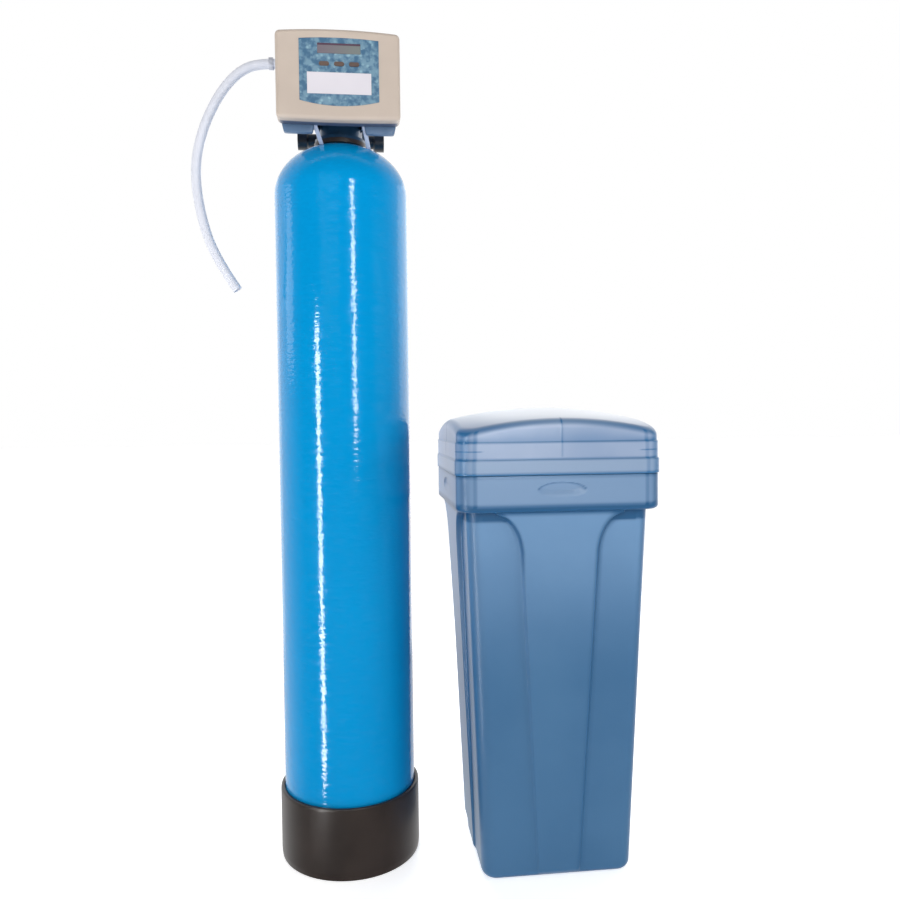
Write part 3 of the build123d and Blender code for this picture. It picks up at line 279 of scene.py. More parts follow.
paint = Finish("blue_winding", IOR=1.5)
turns = paint.place.noise(1.0, 3.0, (9.0, 9.0, 230.0))
dashes = paint.place.noise(1.0, 2.0, (40.0, 40.0, 260.0))
dimples = paint.place.noise(75.0, 1.0, (1.0, 1.0, 2.4))
broad = paint.place.noise(7.0, 3.0)
shade = (broad - 0.5) * 0.5 + (turns - 0.5) * 0.2 + 0.5
paint.set(Base_Color=shade.mix(colour(0, 138, 202), colour(0, 152, 214)))
paint.set(Roughness=dashes.rise(0.4, 0.65) * 0.09 + 0.075)
paint.bump(turns * 0.7 + dashes * 0.6 + dimples * 3.4, RIDGE_DEPTH, 0.3)
inner_radius = VESSEL_RADIUS - VESSEL_WALL
inner_rise = DOME_RISE - VESSEL_WALL
section = np.concatenate([
    dome(VESSEL_RADIUS, DOME_RISE, VESSEL_SPRING_LOW, -math.pi / 2, 0),
    dome(VESSEL_RADIUS, DOME_RISE, VESSEL_SPRING_HIGH, 0, math.acos(NECK_HOLE / VESSEL_RADIUS)),
    dome(inner_radius, inner_rise, VESSEL_SPRING_HIGH, math.acos(NECK_HOLE / inner_radius), 0),
    dome(inner_radius, inner_rise, VESSEL_SPRING_LOW, 0, -math.pi / 2),
])
vessel = surface("wound_vessel", turned(section), paint.material, "base")
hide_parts("vessel_shell")


# Boot. A black moulded cup that the round bottom of the vessel is pressed into, so that it stands. It is duller
# than the paint, and its foot and rim are a little rounded.
BOOT_WALL = 0.008
BOOT_FLOOR = 0.006
BOOT_RIM_DROP = 0.004
BOOT_EASE = 0.0025
BOOT_DRAFT = 0.0015
BOOT_DRAFT_HIGH = 0.012
RIM_DRAFT = 0.0008
RIM_DRAFT_LOW = 0.005


def moulded(name, dark, light, roughness, grain=900.0, depth=0.00012, coat=0.0, clouds=6.0):
    """Moulded plastic: two close tones in broad clouds, and a fine grain from the tool."""
    plastic = Finish(name, Coat_Weight=coat, Coat_Roughness=0.15)
    cloud = plastic.place.noise(clouds, 4.0)
    fine = plastic.place.noise(grain, 2.0)
    plastic.tone = cloud.clouded(dark, light)
    plastic.set(Base_Color=plastic.tone)
    plastic.set(Roughness=(cloud - 0.5) * 0.16 + (fine - 0.5) * 0.1 + roughness)
    plastic.bump(fine, depth, 0.6)
    return plastic


def eased(corners, cut, steps=6):
    """A line through the corners with each turn rounded: a curve between the points a cut away from it."""
    corners = np.array(corners, float)
    before, turn, after = corners[:-2], corners[1:-1], corners[2:]
    back, on = before - turn, after - turn
    back_size = np.linalg.norm(back, axis=1, keepdims=True)
    on_size = np.linalg.norm(on, axis=1, keepdims=True)
    start = (turn + back / back_size * np.minimum(cut, back_size / 2))[:, None]
    end = (turn + on / on_size * np.minimum(cut, on_size / 2))[:, None]
    share = np.linspace(0, 1, steps)[None, :, None]
    curve = (1 - share) ** 2 * start + 2 * share * (1 - share) * turn[:, None] + share**2 * end
    return np.concatenate([corners[:1], curve.reshape(-1, 2), corners[-1:]])


boot_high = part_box("vessel_boot")[1]
boot_radius = boot_high.x
boot_inner = boot_radius - BOOT_WALL
boot_rim = boot_high.z - BOOT_RIM_DROP
boot_plastic = moulded("boot_black", (44, 36, 33), (60, 50, 46), 0.42, 700.0, 0.0002, 0.15)
cup = eased([
    (0, 0), (boot_radius - BOOT_DRAFT, 0), (boot_radius, BOOT_DRAFT_HIGH),
    (boot_radius, boot_rim - RIM_DRAFT_LOW), (boot_radius - RIM_DRAFT, boot_rim),
    (boot_inner, boot_rim), (boot_inner, BOOT_FLOOR), (0, BOOT_FLOOR),
], BOOT_EASE)
boot = surface("foot_cup", turned(cup), boot_plastic.material, "base")
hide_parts("vessel_boot")


# Inside of the vessel. A white riser pipe stands between two slotted baskets; washed gravel lies round the lower
# one and amber exchange resin fills the vessel above it. None of it shows unless the vessel is cut open.
GRAVEL_CELLS = 260.0
RESIN_CELLS = 900.0


def dress(plastic, *names):
    """Gives CAD pieces their finish."""
    for name in names:
        slots = nodes[name].data.materials
        slots.clear()
        slots.append(plastic.material)


white = moulded("white_pipe", (214, 214, 208), (232, 232, 227), 0.45)
stones = Finish("washed_gravel", Roughness=0.8)
each_stone = stones.place.cells(GRAVEL_CELLS, "Color").axis("X")
stones.set(Base_Color=each_stone.mix(colour(120, 108, 92), colour(190, 180, 160)))
stones.bump(stones.place.cells(GRAVEL_CELLS), 0.003)
beads = Finish("amber_beads", Roughness=0.3)
each_bead = beads.place.cells(RESIN_CELLS, "Color").axis("X")
beads.set(Base_Color=each_bead.mix(colour(120, 66, 18), colour(190, 122, 46)))
beads.bump(1 - beads.place.cells(RESIN_CELLS), 0.001)
dark_neck = moulded("liner_neck", (44, 36, 34), (60, 50, 46), 0.4, coat=0.3)
dress(white, "riser_tube", "bottom_basket", "top_basket")
dress(stones, "gravel_bed")
dress(beads, "resin_bed")
dress(dark_neck, "neck_ring")


# Valve body. The moulded body screws into the vessel's neck and carries the piston's chamber across the top.
# Its glossy dark blue neck is what shows under the head, with the rubber seal in the joint below it.
neck_blue = moulded("valve_blue", (20, 50, 78), (34, 70, 102), 0.3, coat=0.6)
rubber = moulded("black_rubber", (16, 16, 17), (28, 27, 27), 0.7, 1500.0)
dress(neck_blue, "valve_body", "chamber_cap", "injector_cap")
dress(rubber, "neck_seal", "seal_stack")


# Piston and gears. White acetal parts that the motor turns: its pinion drives the reduction gear, which drives
# the large gear whose threaded sleeve moves the piston. The motor is a plated can on a black bracket.
acetal = moulded("white_acetal", (205, 205, 196), (224, 224, 216), 0.35)
dress(acetal, "main_piston", "drive_gear", "reduction_gear", "motor_pinion")
steel = Finish("turned_steel", Metallic=1.0)
lines = steel.place.noise(1.0, 2.0, (60.0, 1600.0, 60.0))
steel.set(Base_Color=lines.mix(colour(150, 150, 152), colour(196, 196, 198)), Roughness=lines * 0.2 + 0.2)
plated = Finish("plated_can", Metallic=0.9)
dull = plated.place.noise(40.0, 3.0)
plated.set(Base_Color=dull.mix(colour(140, 142, 146), colour(176, 178, 182)), Roughness=dull * 0.3 + 0.25)
bracket_black = moulded("bracket_black", (24, 24, 26), (36, 36, 38), 0.5)
dress(steel, "gear_axle")
dress(plated, "drive_motor")
dress(bracket_black, "drive_bracket")


# Boards. Two green lacquered circuit boards stand behind the panel, one with the switches under the buttons and
# one with the display. Their copper tracks show through the lacquer as paler lines.
lacquer = Finish("green_board", Coat_Weight=0.5, Roughness=0.4)
tracks = lacquer.place.noise(300.0, 1.0, (1.0, 1.0, 6.0))
lacquer.set(Base_Color=tracks.rise(0.45, 0.55).mix(colour(14, 66, 40), colour(28, 92, 56)))
dress(lacquer, "circuit_board", "display_module")


# Rear housing. A slate blue moulded tub closes the head behind the cover; its underside rises to the back and is
# cut away round the valve's neck.
slate = moulded("housing_slate", (74, 102, 134), (92, 120, 152), 0.42, 800.0, 0.00015, 0.2)
dress(slate, "rear_housing")


# Skirt and stays. The housing's lower edge goes on in a short slate skirt on each side of the neck, and two pale
# moulded stays lean from the housing's front edge down to the vessel's dome.
SKIRT_IN = 0.046
SKIRT_OUT = 0.1045
SKIRT_LOW = 0.0135
SKIRT_HIGH = 0.004
SKIRT_BACK = -0.076
SKIRT_SET_BACK = 0.0004
SKIRT_SPARE = 1e-4
STAY_HEAD_X = {"left": -0.0460, "right": 0.0450}
STAY_FOOT = {"left": (-0.0340, -0.0580), "right": (0.0540, -0.0550)}
STAY_WIDE = 0.0040
STAY_THICK = 0.0022
STAY_SUNK = 0.0005
BAR_SIDES = 40
BAR_SQUARE = 0.3


def bar(path, wide, thick):
    """Level rings of a bar along a path. Each ring is a superellipse: the cosine and the sine of the angle, each
    raised to a small power, times the half width across and the half thickness to the front at that point."""
    angle = np.linspace(0, 2 * math.pi, BAR_SIDES, endpoint=False)
    wave = np.stack([np.cos(angle), np.sin(angle), 0 * angle], -1)
    ring = np.sign(wave) * np.abs(wave) ** BAR_SQUARE
    return np.array(path)[:, None] + ring * np.stack([wide, thick, 0 * wide], -1)[:, None]


pale_stay = moulded("pale_stay", (168, 180, 206), (190, 200, 220), 0.35, coat=0.2)
housing_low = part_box("rear_housing")[0]
reach = (SKIRT_OUT - SKIRT_IN) / 2
depth = (SKIRT_BACK - housing_low.y) / 2
# A skirt's rings: the height of each over the housing's edge, and how far its sides are drawn in.
fall, shrink = np.array([
    (SKIRT_HIGH, reach), (SKIRT_HIGH, 0.0), (0.0, 0.0), (0.003 - SKIRT_LOW, 0.0025),
    (0.0008 - SKIRT_LOW, 0.0035), (-SKIRT_LOW, 0.005), (-SKIRT_LOW, reach),
]).T
# A stay's rings: how far down the stay each lies, and its share of the full size.
down = np.array([0.0, 0.0, 0.06, 0.5, 0.94, 1.0, 1.0])[:, None]
full = np.array([0.05, 0.9, 1.0, 1.0, 1.0, 0.9, 0.05])
for side, way in (("left", -1), ("right", 1)):
    middle = way * (SKIRT_IN + SKIRT_OUT) / 2
    path = [(middle, housing_low.y + depth + SKIRT_SET_BACK, housing_low.z + z) for z in fall]
    skirt = bar(path, reach + SKIRT_SPARE - shrink, depth + SKIRT_SPARE - shrink * depth / reach)
    surface("housing_skirt_" + side, skirt, slate.material, "base")
    foot = STAY_FOOT[side]
    dome_share = math.sqrt(1 - (math.hypot(*foot) / VESSEL_RADIUS) ** 2)
    low_end = np.array((*foot, VESSEL_SPRING_HIGH + DOME_RISE * dome_share - STAY_SUNK))
    high_end = np.array((STAY_HEAD_X[side], housing_low.y + 0.001, housing_low.z + 0.004))
    stay = bar(high_end * (1 - down) + low_end * down, STAY_WIDE * full, STAY_THICK * full)
    surface("neck_stay_" + side, stay, pale_stay.material, "base")


# Front cover. A moulded beige shell closes the head at the front and holds the panel. The back of its lower
# rim, where it turns under, is painted a slate-grey shade.
RIM_LOW = 0.0012
RIM_HIGH = 0.0042
RIM_FRONT = -0.107
RIM_BACK = -0.101
beige = moulded("cover_beige", (188, 174, 162), (200, 186, 173), 0.5, 900.0, 0.00012, 0.1)
cover_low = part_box("front_cover")[0]
# Painted shade: the turned-under back of the lower rim is slate-grey, and the rest keeps the beige tone.
over_rim = beige.place.axis("Z").rise(cover_low.z + RIM_LOW, cover_low.z + RIM_HIGH)
in_front = 1 - beige.place.axis("Y").rise(RIM_FRONT, RIM_BACK)
beige_outside_rim_shade = over_rim.maths("MAXIMUM", over_rim, in_front)
beige.set(Base_Color=beige_outside_rim_shade.mix(colour(70, 84, 110), beige.tone))
dress(beige, "front_cover")


# Control panel. A printed blue film with a mottled ground is stuck in the cover's recess. It holds a grey display
# window, a bare white plate and three small dark oval buttons.
FRAME_LINE_LOW = 0.0045
FRAME_LINE_HIGH = 0.0025
film = Finish("mottled_film", Roughness=0.38, Coat_Weight=0.3, Coat_Roughness=0.1)
drops = film.place.cells(110.0)
patches = film.place.noise(75.0, 5.0)
ground = patches.rise(0.38, 0.62).mix(colour(66, 104, 134), colour(112, 146, 166))
wet = (1 - drops.rise(0.12, 0.42)) * patches.rise(0.4, 0.6)
film.set(Base_Color=(wet * 0.75).mix(ground, colour(150, 184, 196)))
film.bump(drops, 0.0002, 0.3)
dress(film, "control_overlay")
glass = Finish("display_glass", Roughness=0.18, Coat_Weight=0.7, Coat_Roughness=0.05)
glass_low, glass_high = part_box("display_window")
tint = glass.place.axis("X").rise(glass_low.x, glass_high.x)
screen = tint.mix(colour(120, 112, 120), colour(122, 128, 126))
frame_line = glass.place.axis("Z").rise(glass_high.z - FRAME_LINE_LOW, glass_high.z - FRAME_LINE_HIGH)
glass.set(Base_Color=frame_line.mix(screen, colour(92, 72, 86)))
dress(glass, "display_window")
plate_white = moulded("plate_white", (212, 208, 215), (222, 218, 224), 0.45)
dress(plate_white, "label_plate")
button_brown = moulded("button_brown", (84, 70, 66), (112, 92, 82), 0.45, 500.0, coat=0.2)
dress(button_brown, "button_left", "button_middle", "button_right")


# Water fittings. Black moulded elbows and union nuts for the supply behind the head, and the small elbows of
# the drain and of the brine line; a sprung steel clip holds the drain hose.
fitting = moulded("fitting_black", (20, 22, 28), (36, 38, 46), 0.38, 900.0, 0.00012, 0.4)
dress(fitting, "inlet_elbow", "outlet_elbow", "inlet_nut", "outlet_nut", "drain_elbow", "brine_elbow")
sprung = Finish("sprung_clip", Metallic=0.35, Roughness=0.5)
sprung.set(Base_Color=sprung.place.noise(90.0).mix(colour(196, 198, 208), colour(222, 224, 232)))
dress(sprung, "hose_clip")


# Salt tub. A tall square tub of thin blue polyethylene, blown in one piece. Its sides taper down to the foot,
# and each has a raised centre panel that flares out under the wide collar. The collar has an oval finger grip
# on each side, and a lip round its top centres the lid.
TANK = (0.3848, -0.0302)
TUB_WALL = 0.004
FOOT_HALF = 0.1415
FOOT_EASE = 0.016
SHOULDER_HALF = 0.1685
CORNER = 0.028
CORNER_STEPS = 15
COLLAR_LOW = 0.688
COLLAR_HIGH = 0.7537
COLLAR_HALF = 0.187
COLLAR_CORNER = 0.036
BELLY = 0.0075
BROW = 0.002
LIP_HALF = 0.176
LIP_HIGH = 0.7727
LIP_EASE = 0.0015
PANEL_LOW = 0.008
PANEL_START = 0.604
PANEL_HALVES = (0.036, 0.067)
PANEL_RISE = 0.079
PANEL_FLARE = 0.048
PANEL_PROUD = (0.0035, 0.011)
FLANK = 0.006
SPARE = 0.0005
HAIR = 1e-6
SIDE_RECESS = 9
SIDE_FLANK = 9
SIDE_PANEL = 61
GRIP_HALF = 0.045
GRIP_MIDDLE = 0.727
GRIP_RISE = 0.0145
GRIP_DEPTH = 0.006


def square_rings(half, corner, stations, proud, height):
    """Rings of a rounded square. The front side runs through the stations, stands out by proud and is followed
    by a corner's arc; quarter turns of it give the other sides. Each ring has one height."""
    half, corner = half[:, None], corner[:, None]
    straight = half - corner
    angle = np.linspace(0, math.pi / 2, CORNER_STEPS + 2)[1:-1]
    side = np.stack([stations, -half - proud], -1)
    bend = np.stack([straight + corner * np.sin(angle), -straight - corner * np.cos(angle)], -1)
    turns = [np.concatenate([side, bend], 1)]
    for _ in range(3):
        last = turns[-1]
        turns.append(np.stack([-last[..., 1], last[..., 0]], -1))
    plan = np.concatenate(turns, 1)
    level = np.broadcast_to(height[:, None, None], (*plan.shape[:2], 1))
    return np.concatenate([plan + np.array(TANK), level], -1)


def soft(value):
    """Smooth change from 0 to 1 as the value goes from 0 to 1."""
    value = np.clip(value, 0, 1)
    return value * value * (3 - 2 * value)


def line(value, middle, reach):
    """1 at the middle, falling softly to 0 at a reach on both sides."""
    return soft(1 - np.abs(value - middle) / reach)


def all_round(side, lines, bend, thin):
    """Marks for the points of square_rings, the same on all four sides. Each ring has its own mark and that of
    the corners' thick plastic: bend in the middle of the turn, and thin in a line where the turn begins."""
    turn = np.linspace(0, 1, CORNER_STEPS + 2)[1:-1]
    edge = np.minimum(turn, 1 - turn)
    corners = bend[:, None] * line(turn, 0.5, 0.36) + thin[:, None] * line(edge, 0.1, 0.12)
    return np.clip(np.tile(np.concatenate([side, lines[:, None] + corners], 1), (1, 4)), 0, 1)


def panelled(half, corner, panel, proud):
    """Stations along a side and how far each stands out: recess, sloping flank, panel, flank and recess."""
    straight = (half - corner)[:, None]
    edge = np.minimum(panel[:, None], straight - FLANK - SPARE)
    away = np.linspace(0, 1, SIDE_RECESS)[None]
    slope = np.linspace(0, 1, SIDE_FLANK + 2)[None, 1:-1]
    right = np.concatenate([edge + FLANK * slope, edge + FLANK + (straight - edge - FLANK) * away], 1)
    middle = edge * np.linspace(-1, 1, SIDE_PANEL)[None]
    stations = np.concatenate([-right[:, ::-1], middle, right], 1)
    lift = np.concatenate([soft(1 - slope), 0 * away], 1) * np.ones_like(straight)
    rise = np.concatenate([lift[:, ::-1], np.ones_like(middle), lift], 1)
    return stations, rise * proud[:, None]


def finger_grip(stations, height):
    """How far in from the edge of the collar's oval grip a point is, 0 outside, and its height in the oval."""
    across = stations / GRIP_HALF
    up = (height[:, None] - GRIP_MIDDLE) / GRIP_RISE
    return np.clip(1 - across**2 - up**2, 0, 1), np.broadcast_to(up, across.shape)


def shell(outer, wall):
    """Outer rings followed by those of the wall's inside, in the other order."""
    return np.concatenate([outer, wall[::-1]])


# The rings' heights: the rounded foot, the walls, closer where the panels flare, the collar and the lip.
foot_turn = np.linspace(0, math.pi / 2, 8)
wall_heights = np.concatenate([np.linspace(0.02, 0.58, 40), np.linspace(0.592, 0.687, 36)])
belly = np.linspace(0, math.pi / 2, 9)
collar_heights = np.linspace(0.700, 0.746, 30)
brow = np.linspace(0, math.pi / 2, 6)
height = np.concatenate([
    [0.0], FOOT_EASE * (1 - np.cos(foot_turn)), wall_heights,
    COLLAR_LOW + BELLY * (1 - np.cos(belly)), collar_heights, COLLAR_HIGH - BROW * (1 - np.sin(brow)),
    [COLLAR_HIGH, LIP_HIGH - LIP_EASE, LIP_HIGH],
])
feet = 1 + len(foot_turn)
start = feet + len(wall_heights)
half = FOOT_HALF + (SHOULDER_HALF - FOOT_HALF) * np.clip(height / COLLAR_LOW, 0, 1)
half[0] = 0.001
half[1:feet] -= FOOT_EASE * (1 - np.sin(foot_turn))
half[start:start + len(belly)] = COLLAR_HALF - BELLY * (1 - np.sin(belly))
half[start + len(belly):start + len(belly) + len(collar_heights)] = COLLAR_HALF
half[-3 - len(brow):-3] = COLLAR_HALF - BROW * (1 - np.cos(brow))
half[-3:] = [LIP_HALF, LIP_HALF, LIP_HALF - LIP_EASE]
corner = np.minimum(np.where(height < COLLAR_LOW, CORNER, COLLAR_CORNER), half * 0.6)
corner[1:feet] = CORNER - FOOT_EASE * (1 - np.sin(foot_turn))

# The panels' edges run straight up and then out in a quarter circle; the grips are pressed into the collar.
under_collar = height < COLLAR_LOW - HAIR
flare = np.clip((height - PANEL_START) / PANEL_RISE, 0, 1)
panel_base = np.interp(height, [PANEL_LOW, PANEL_START], PANEL_HALVES)
panel = panel_base + PANEL_FLARE * (1 - np.sqrt(1 - flare**2))
panel = np.minimum(panel, half - corner - FLANK - SPARE)
panel[:feet] = np.minimum(panel[:feet], 0.7 * (half - corner)[:feet])
proud = np.interp(height, [0, COLLAR_LOW], PANEL_PROUD) * soft((height - 0.004) / 0.014) * under_collar
stations, out = panelled(half, corner, np.maximum(panel, 0.0001), proud)
inside, up = finger_grip(stations, height)
out -= GRIP_DEPTH * np.sqrt(inside) * soft(inside * 4) * soft((up + 1) / 1.5)
outer = square_rings(half, corner, stations, out, height)
inner = square_rings(half - TUB_WALL * (half > 0.01), np.maximum(corner - TUB_WALL, SPARE), stations, out * 0,
                     np.clip(height, TUB_WALL, None))

# The dark marks: painted shade on the panels' flanks, heavier on the right ones, which face away from the
# light; thick plastic with painted shade along the collar's and the foot's edges; painted shadow under the brow
# over each grip and in the hollows right under the collar; and thick plastic at the corners.
beside = np.clip((panel_base[:, None] + PANEL_FLARE - np.abs(stations)) / PANEL_FLARE, 0, None)
arch = np.sqrt(beside**2 + flare[:, None] ** 2)
left_line = np.interp(height, [0.05, 0.56, 0.62], [0.0, 0.15, 0.9])[:, None] * line(arch, 0.955, 0.11)
right_line = np.interp(height, [0.05, 0.50, 0.62], [0.35, 0.6, 0.9])[:, None] * line(arch, 0.955, 0.19)
flank = np.where(stations < 0, left_line, right_line) * under_collar[:, None]
ledges = np.minimum(1.6 * line(height, COLLAR_LOW + 0.004, 0.014), 1)
ledges += 0.6 * line(height, COLLAR_HIGH, 0.006) + 0.8 * line(height, 0.002, 0.010)
grip_brow = soft(inside * 12) * (1 - soft(inside * 3.0)) * soft((up + 0.1) * 4)
ceiling = 0.95 * soft((height - 0.667) / 0.006) * under_collar
hollow = 1 - soft(out / np.maximum(proud[:, None], 1e-4))
side_thick_and_shade = flank + (ledges[:, None] + ceiling[:, None] * hollow) + grip_brow * 0.9
bend_mark = np.where(under_collar, np.interp(height, [0.20, 0.60], [0.1, 0.6]), 0.8)
thick_and_shade = all_round(side_thick_and_shade, ledges + ceiling, bend_mark, np.where(under_collar, 0.0, 0.5))

polyethylene = Finish("tub_blue", Roughness=0.36, IOR=1.5)
tall = polyethylene.place.axis("Z")
mottle = polyethylene.place.noise(5.0, 4.0)
# Painted highlight: the walls turn lighter towards the top, where the flaring panels catch the light.
lower = mottle.clouded((60, 108, 150), (68, 115, 156))
upper = mottle.clouded((100, 140, 180), (108, 147, 186))
wall_tone_lit_above = tall.rise(0.36, 0.68).mix(lower, upper)
collar_tone = tall.rise(0.694, 0.706).mix(wall_tone_lit_above, colour(118, 148, 182))
# The marks turn the tone dark blue: thick plastic at the corners, and painted shade in the hollows, on the flanks
# and along the edges.
polyethylene.set(Base_Color=polyethylene.marks("thick_and_shade").mix(collar_tone, colour(34, 88, 132)))
polyethylene.bump(polyethylene.place.noise(500.0), 0.00015, 0.5)

# Every third ring is enough for the inside of the wall, and the last four shape the lip.
sparse = np.r_[0:len(height) - 4:3, len(height) - 4:len(height)]
tub = surface("blown_tub", shell(outer, inner[sparse]), polyethylene.material, "base", 50,
              thick_and_shade=shell(thick_and_shade, 0 * thick_and_shade[sparse]))
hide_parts("salt_tub")

# The brine line's hole is drilled through the rear wall.
LINE_HOLE = (TANK[0] + 0.108, 0.134, 0.620)
LINE_RADIUS = 0.0065
DRILL_LENGTH = 0.024
drill = bmesh.new()
bmesh.ops.create_cone(drill, cap_ends=True, segments=32, radius1=LINE_RADIUS, radius2=LINE_RADIUS,
                      depth=DRILL_LENGTH,
                      matrix=Matrix.Translation(LINE_HOLE) @ Matrix.Rotation(math.pi / 2, 4, "X"))
drill_mesh = bpy.data.meshes.new("drill")
drill.to_mesh(drill_mesh)
drill.free()
driller = bpy.data.objects.new("drill", drill_mesh)
cut = tub.modifiers.new("line_hole", "BOOLEAN")
cut.operation = "DIFFERENCE"
cut.solver = "EXACT"
cut.object = driller
bpy.context.view_layer.update()
drilled = bpy.data.meshes.new_from_object(tub.evaluated_get(bpy.context.evaluated_depsgraph_get()))
tub.modifiers.clear()
tub.data = drilled
bpy.data.objects.remove(driller)


# Lid. A domed blown cap of the same plastic, paler because it is thinner; its crown is painted near white, a
# painted highlight of the light that comes through the top. A bead runs round its lower edge, a faint step lies
# above it, and the corners are softly rounded where the dome meets the sides.
LID_LOW = 0.754
LID_WALL = 0.0035
LID_EASE = 0.013
BEAD_HIGH = 0.782
BEAD_PROUD = 0.0018
BEAD_EDGE = 0.0010
STEP_HIGH = 0.813
STEP_IN = 0.0014
CROWN = 0.876
CROWN_RADIUS = 0.745
CREASE_HALF = 0.0028
CREASE_PROUD = 0.0005
NOTCH_HIGH = 0.7965
NOTCH_HALF = 0.0018


def crown_height(plan):
    """Height of the round dome over a point of the plan."""
    away = ((plan - np.array(TANK)) ** 2).sum(-1)
    return CROWN - CROWN_RADIUS + np.sqrt(CROWN_RADIUS**2 - away)


def lid_rings(inset, drop):
    """The lid's skin from its lower edge to its crown, drawn in by the inset and lowered by the drop, and its
    dark
    marks: thick plastic at the corners and along the dome's edge, painted shade along the seam at its foot, the
    bead's top, the step and the notches, and a faint line on the crease."""
    tall = np.linspace(LID_LOW, STEP_HIGH + 0.002, 56)
    bends = [LID_LOW, LID_LOW + 0.0008, BEAD_HIGH - 0.0016, BEAD_HIGH, STEP_HIGH - 0.001, STEP_HIGH]
    profile = np.interp(tall, bends, [BEAD_EDGE, BEAD_PROUD, BEAD_PROUD, 0.0, 0.0, -STEP_IN])
    turn = np.linspace(0, math.pi / 2, 11)
    cuts = LID_EASE * (1 - np.cos(turn))
    shares = np.linspace(0, 1, 26)[1:-1]
    walls, eases = len(tall), len(cuts)
    body = COLLAR_HALF - inset
    half_top = (body - STEP_IN - LID_EASE) * (1 - shares)
    half = np.concatenate([body + profile, body - STEP_IN - cuts, half_top, [0.0005]])
    corner = (COLLAR_CORNER - inset) * np.minimum(1, half / body)
    across = np.sort(np.concatenate([np.linspace(-1, 1, 71), [-0.014, -0.007, 0.007, 0.014]]))[None]
    stations = across * (half - corner)[:, None]
    height = np.concatenate([tall, np.full(len(half) - walls, CROWN)])
    crease = line(stations, 0, CREASE_HALF) * soft((height - BEAD_HIGH - 0.002) / 0.004)[:, None]
    crease[walls + eases:] = 0
    rings = square_rings(half, corner, stations, CREASE_PROUD * crease, np.zeros(len(half)))
    lowered = np.concatenate([cuts, np.full(len(shares) + 1, LID_EASE)])
    fall = LID_EASE - np.sqrt(np.maximum(LID_EASE**2 - (LID_EASE - lowered) ** 2, 0))
    rings[:walls, :, 2] = tall[:, None]
    rings[walls:, :, 2] = crown_height(rings[walls:, :, :2]) - drop - fall[:, None]
    # Painted shade: dark lines at the seam over the collar, at the bead's top, at the step and at the corner
    # notches.
    lines = line(tall, LID_LOW, 0.007) + 0.6 * line(tall, BEAD_HIGH, 0.0045)
    lines += 0.75 * line(tall, STEP_HIGH, 0.0045)
    lines = np.concatenate([lines, 0.75 * np.sin(2 * turn) ** 1.5, np.zeros(len(shares) + 1)])
    notch = 0.8 * line(height, NOTCH_HIGH, NOTCH_HALF)
    side = lines[:, None] + 0.35 * crease + notch[:, None] * soft((np.abs(across) - 0.93) * 25)
    bend = np.where(np.arange(len(half)) < walls + 5, 0.75, 0.0)
    return rings, all_round(side, lines + notch, bend, 0.6 * bend)


pale = Finish("lid_blue", Roughness=0.33, IOR=1.5)
tall = pale.place.axis("Z")
sides = pale.place.noise(6.0, 4.0).clouded((140, 160, 190), (156, 172, 198))
bead = tall.rise(BEAD_HIGH - 0.0005, BEAD_HIGH + 0.0015).mix(colour(138, 160, 188), sides)
# Painted highlight: the crown is painted near white.
tone_with_lit_crown = tall.rise(0.834, 0.864).mix(bead, colour(236, 241, 249))
# The marks turn the lid dark blue: thick plastic, and painted shade in its seam, bead, step and notches.
pale.set(Base_Color=pale.marks("thick_and_shade").mix(tone_with_lit_crown, colour(48, 108, 156)))
pale.bump(pale.place.noise(500.0), 0.00015, 0.5)
cap, cap_thick_and_shade = lid_rings(0.0, 0.0)
under, under_thick_and_shade = lid_rings(LID_WALL, LID_WALL)
lid = surface("domed_lid", shell(cap, under), pale.material, "lid", 50,
              thick_and_shade=shell(cap_thick_and_shade, under_thick_and_shade))
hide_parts("salt_lid")


# Brine well. A white tube in the tub's rear corner keeps the salt off the float valve, whose float closes the
# line when the tub is full. A loose cap covers the well.
dress(white, "brine_well", "well_cap", "pickup_tube", "air_check", "float_rod")
dress(fitting, "brine_valve", "brine_float", "overflow_elbow", "overflow_nut")


# Floor and light. The set stands on a plain pale floor in a white studio. Two tall narrow lamps give the paint
# its upright streaks, and two bright walls and a window behind it the pale edges; three broad lamps that gloss
# doesn't see light the rest.
FLOOR = 30.0
FLOOR_GLOW = 0.6
FRONT_GLOW = 0.03
FRONT_DARK = -0.35
BACK_BRIGHT = 0.75
WHITE = (1.0, 1.0, 1.0, 1.0)
floor_corners = [(-FLOOR, -FLOOR, 0), (FLOOR, -FLOOR, 0), (FLOOR, FLOOR, 0), (-FLOOR, FLOOR, 0)]
floor_mesh = bpy.data.meshes.new("floor")
floor_mesh.from_pydata(floor_corners, [], [(0, 1, 2, 3)])
floor = bpy.data.objects.new("floor", floor_mesh)
bpy.context.scene.collection.objects.link(floor)
pale_floor = Finish("pale_floor", Roughness=0.6, Emission_Color=WHITE, Emission_Strength=FLOOR_GLOW)
pale_floor.set(Base_Color=pale_floor.place.noise(3.0).mix(colour(248, 248, 249), colour(252, 252, 253)))
floor_mesh.materials.append(pale_floor.material)
floor.visible_glossy = False
world = bpy.data.worlds.new("studio")
world.use_nodes = True
sky = Wire(world.node_tree, world.node_tree.nodes.new("ShaderNodeTexCoord").outputs["Generated"])
seen = sky.add("LightPath", output="Is Camera Ray")
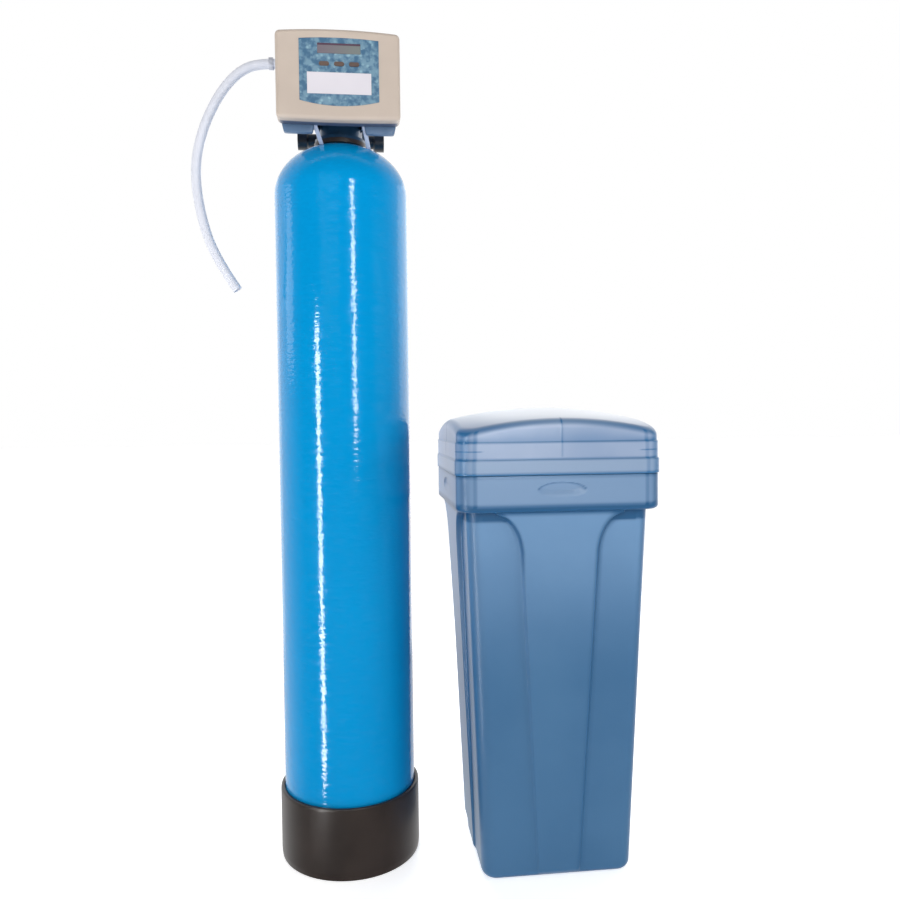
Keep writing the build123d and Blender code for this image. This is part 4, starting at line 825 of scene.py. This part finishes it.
behind = sky.axis("Y").rise(FRONT_DARK, BACK_BRIGHT)
glow = behind * (1 - FRONT_GLOW) + FRONT_GLOW
backdrop = world.node_tree.nodes["Background"]
backdrop.inputs["Color"].default_value = WHITE
world.node_tree.links.new(seen.maths("MAXIMUM", seen, glow).socket, backdrop.inputs["Strength"])
bpy.context.scene.world = world


def lamp(name, place, towards, width, height, power, gloss):
    """A rectangular lamp at a place, turned towards a point. It is seen in gloss alone, or lights without it."""
    light = bpy.data.lights.new(name, "AREA")
    light.shape = "RECTANGLE"
    light.size = width
    light.size_y = height
    light.energy = power
    holder = bpy.data.objects.new(name, light)
    bpy.context.scene.collection.objects.link(holder)
    back = np.array(place, float) - np.array(towards, float)
    back /= np.linalg.norm(back)
    side = np.cross((0, 0, 1), back)
    side /= np.linalg.norm(side)
    pose = np.eye(4)
    pose[:3, :3] = np.column_stack([side, np.cross(back, side), back])
    pose[:3, 3] = place
    holder.matrix_world = Matrix(pose.tolist())
    holder.visible_camera = False
    holder.visible_glossy = gloss
    holder.visible_diffuse = not gloss


lamp("left_strip", (-0.34, -0.42, 0.53), (-0.05, -0.118, 0.53), 0.045, 1.13, 3.5, gloss=True)
lamp("right_strip", (0.45, -1.35, 1.29), (0.02, -0.127, 1.29), 0.12, 0.95, 6.3, gloss=True)
lamp("left_wall", (-0.95, 2.3, 1.0), (0, 0, 1.0), 1.7, 2.6, 5.0, gloss=True)
lamp("right_wall", (1.6, 1.9, 1.0), (0, 0, 1.0), 2.6, 2.6, 14.0, gloss=True)
lamp("window", (-1.8, 0.3, 1.45), (0, 0, 1.25), 0.6, 0.7, 1.8, gloss=True)
lamp("broad", (-1.3, -3.7, 2.5), (0.2, 0, 0.6), 2.4, 2.4, 95.0, gloss=False)
lamp("side", (3.2, -1.3, 1.5), (0.1, 0, 0.9), 1.6, 1.6, 30.0, gloss=False)
lamp("rim", (0.2, 2.9, 2.3), (0.2, 0, 0.8), 1.6, 1.6, 50.0, gloss=False)
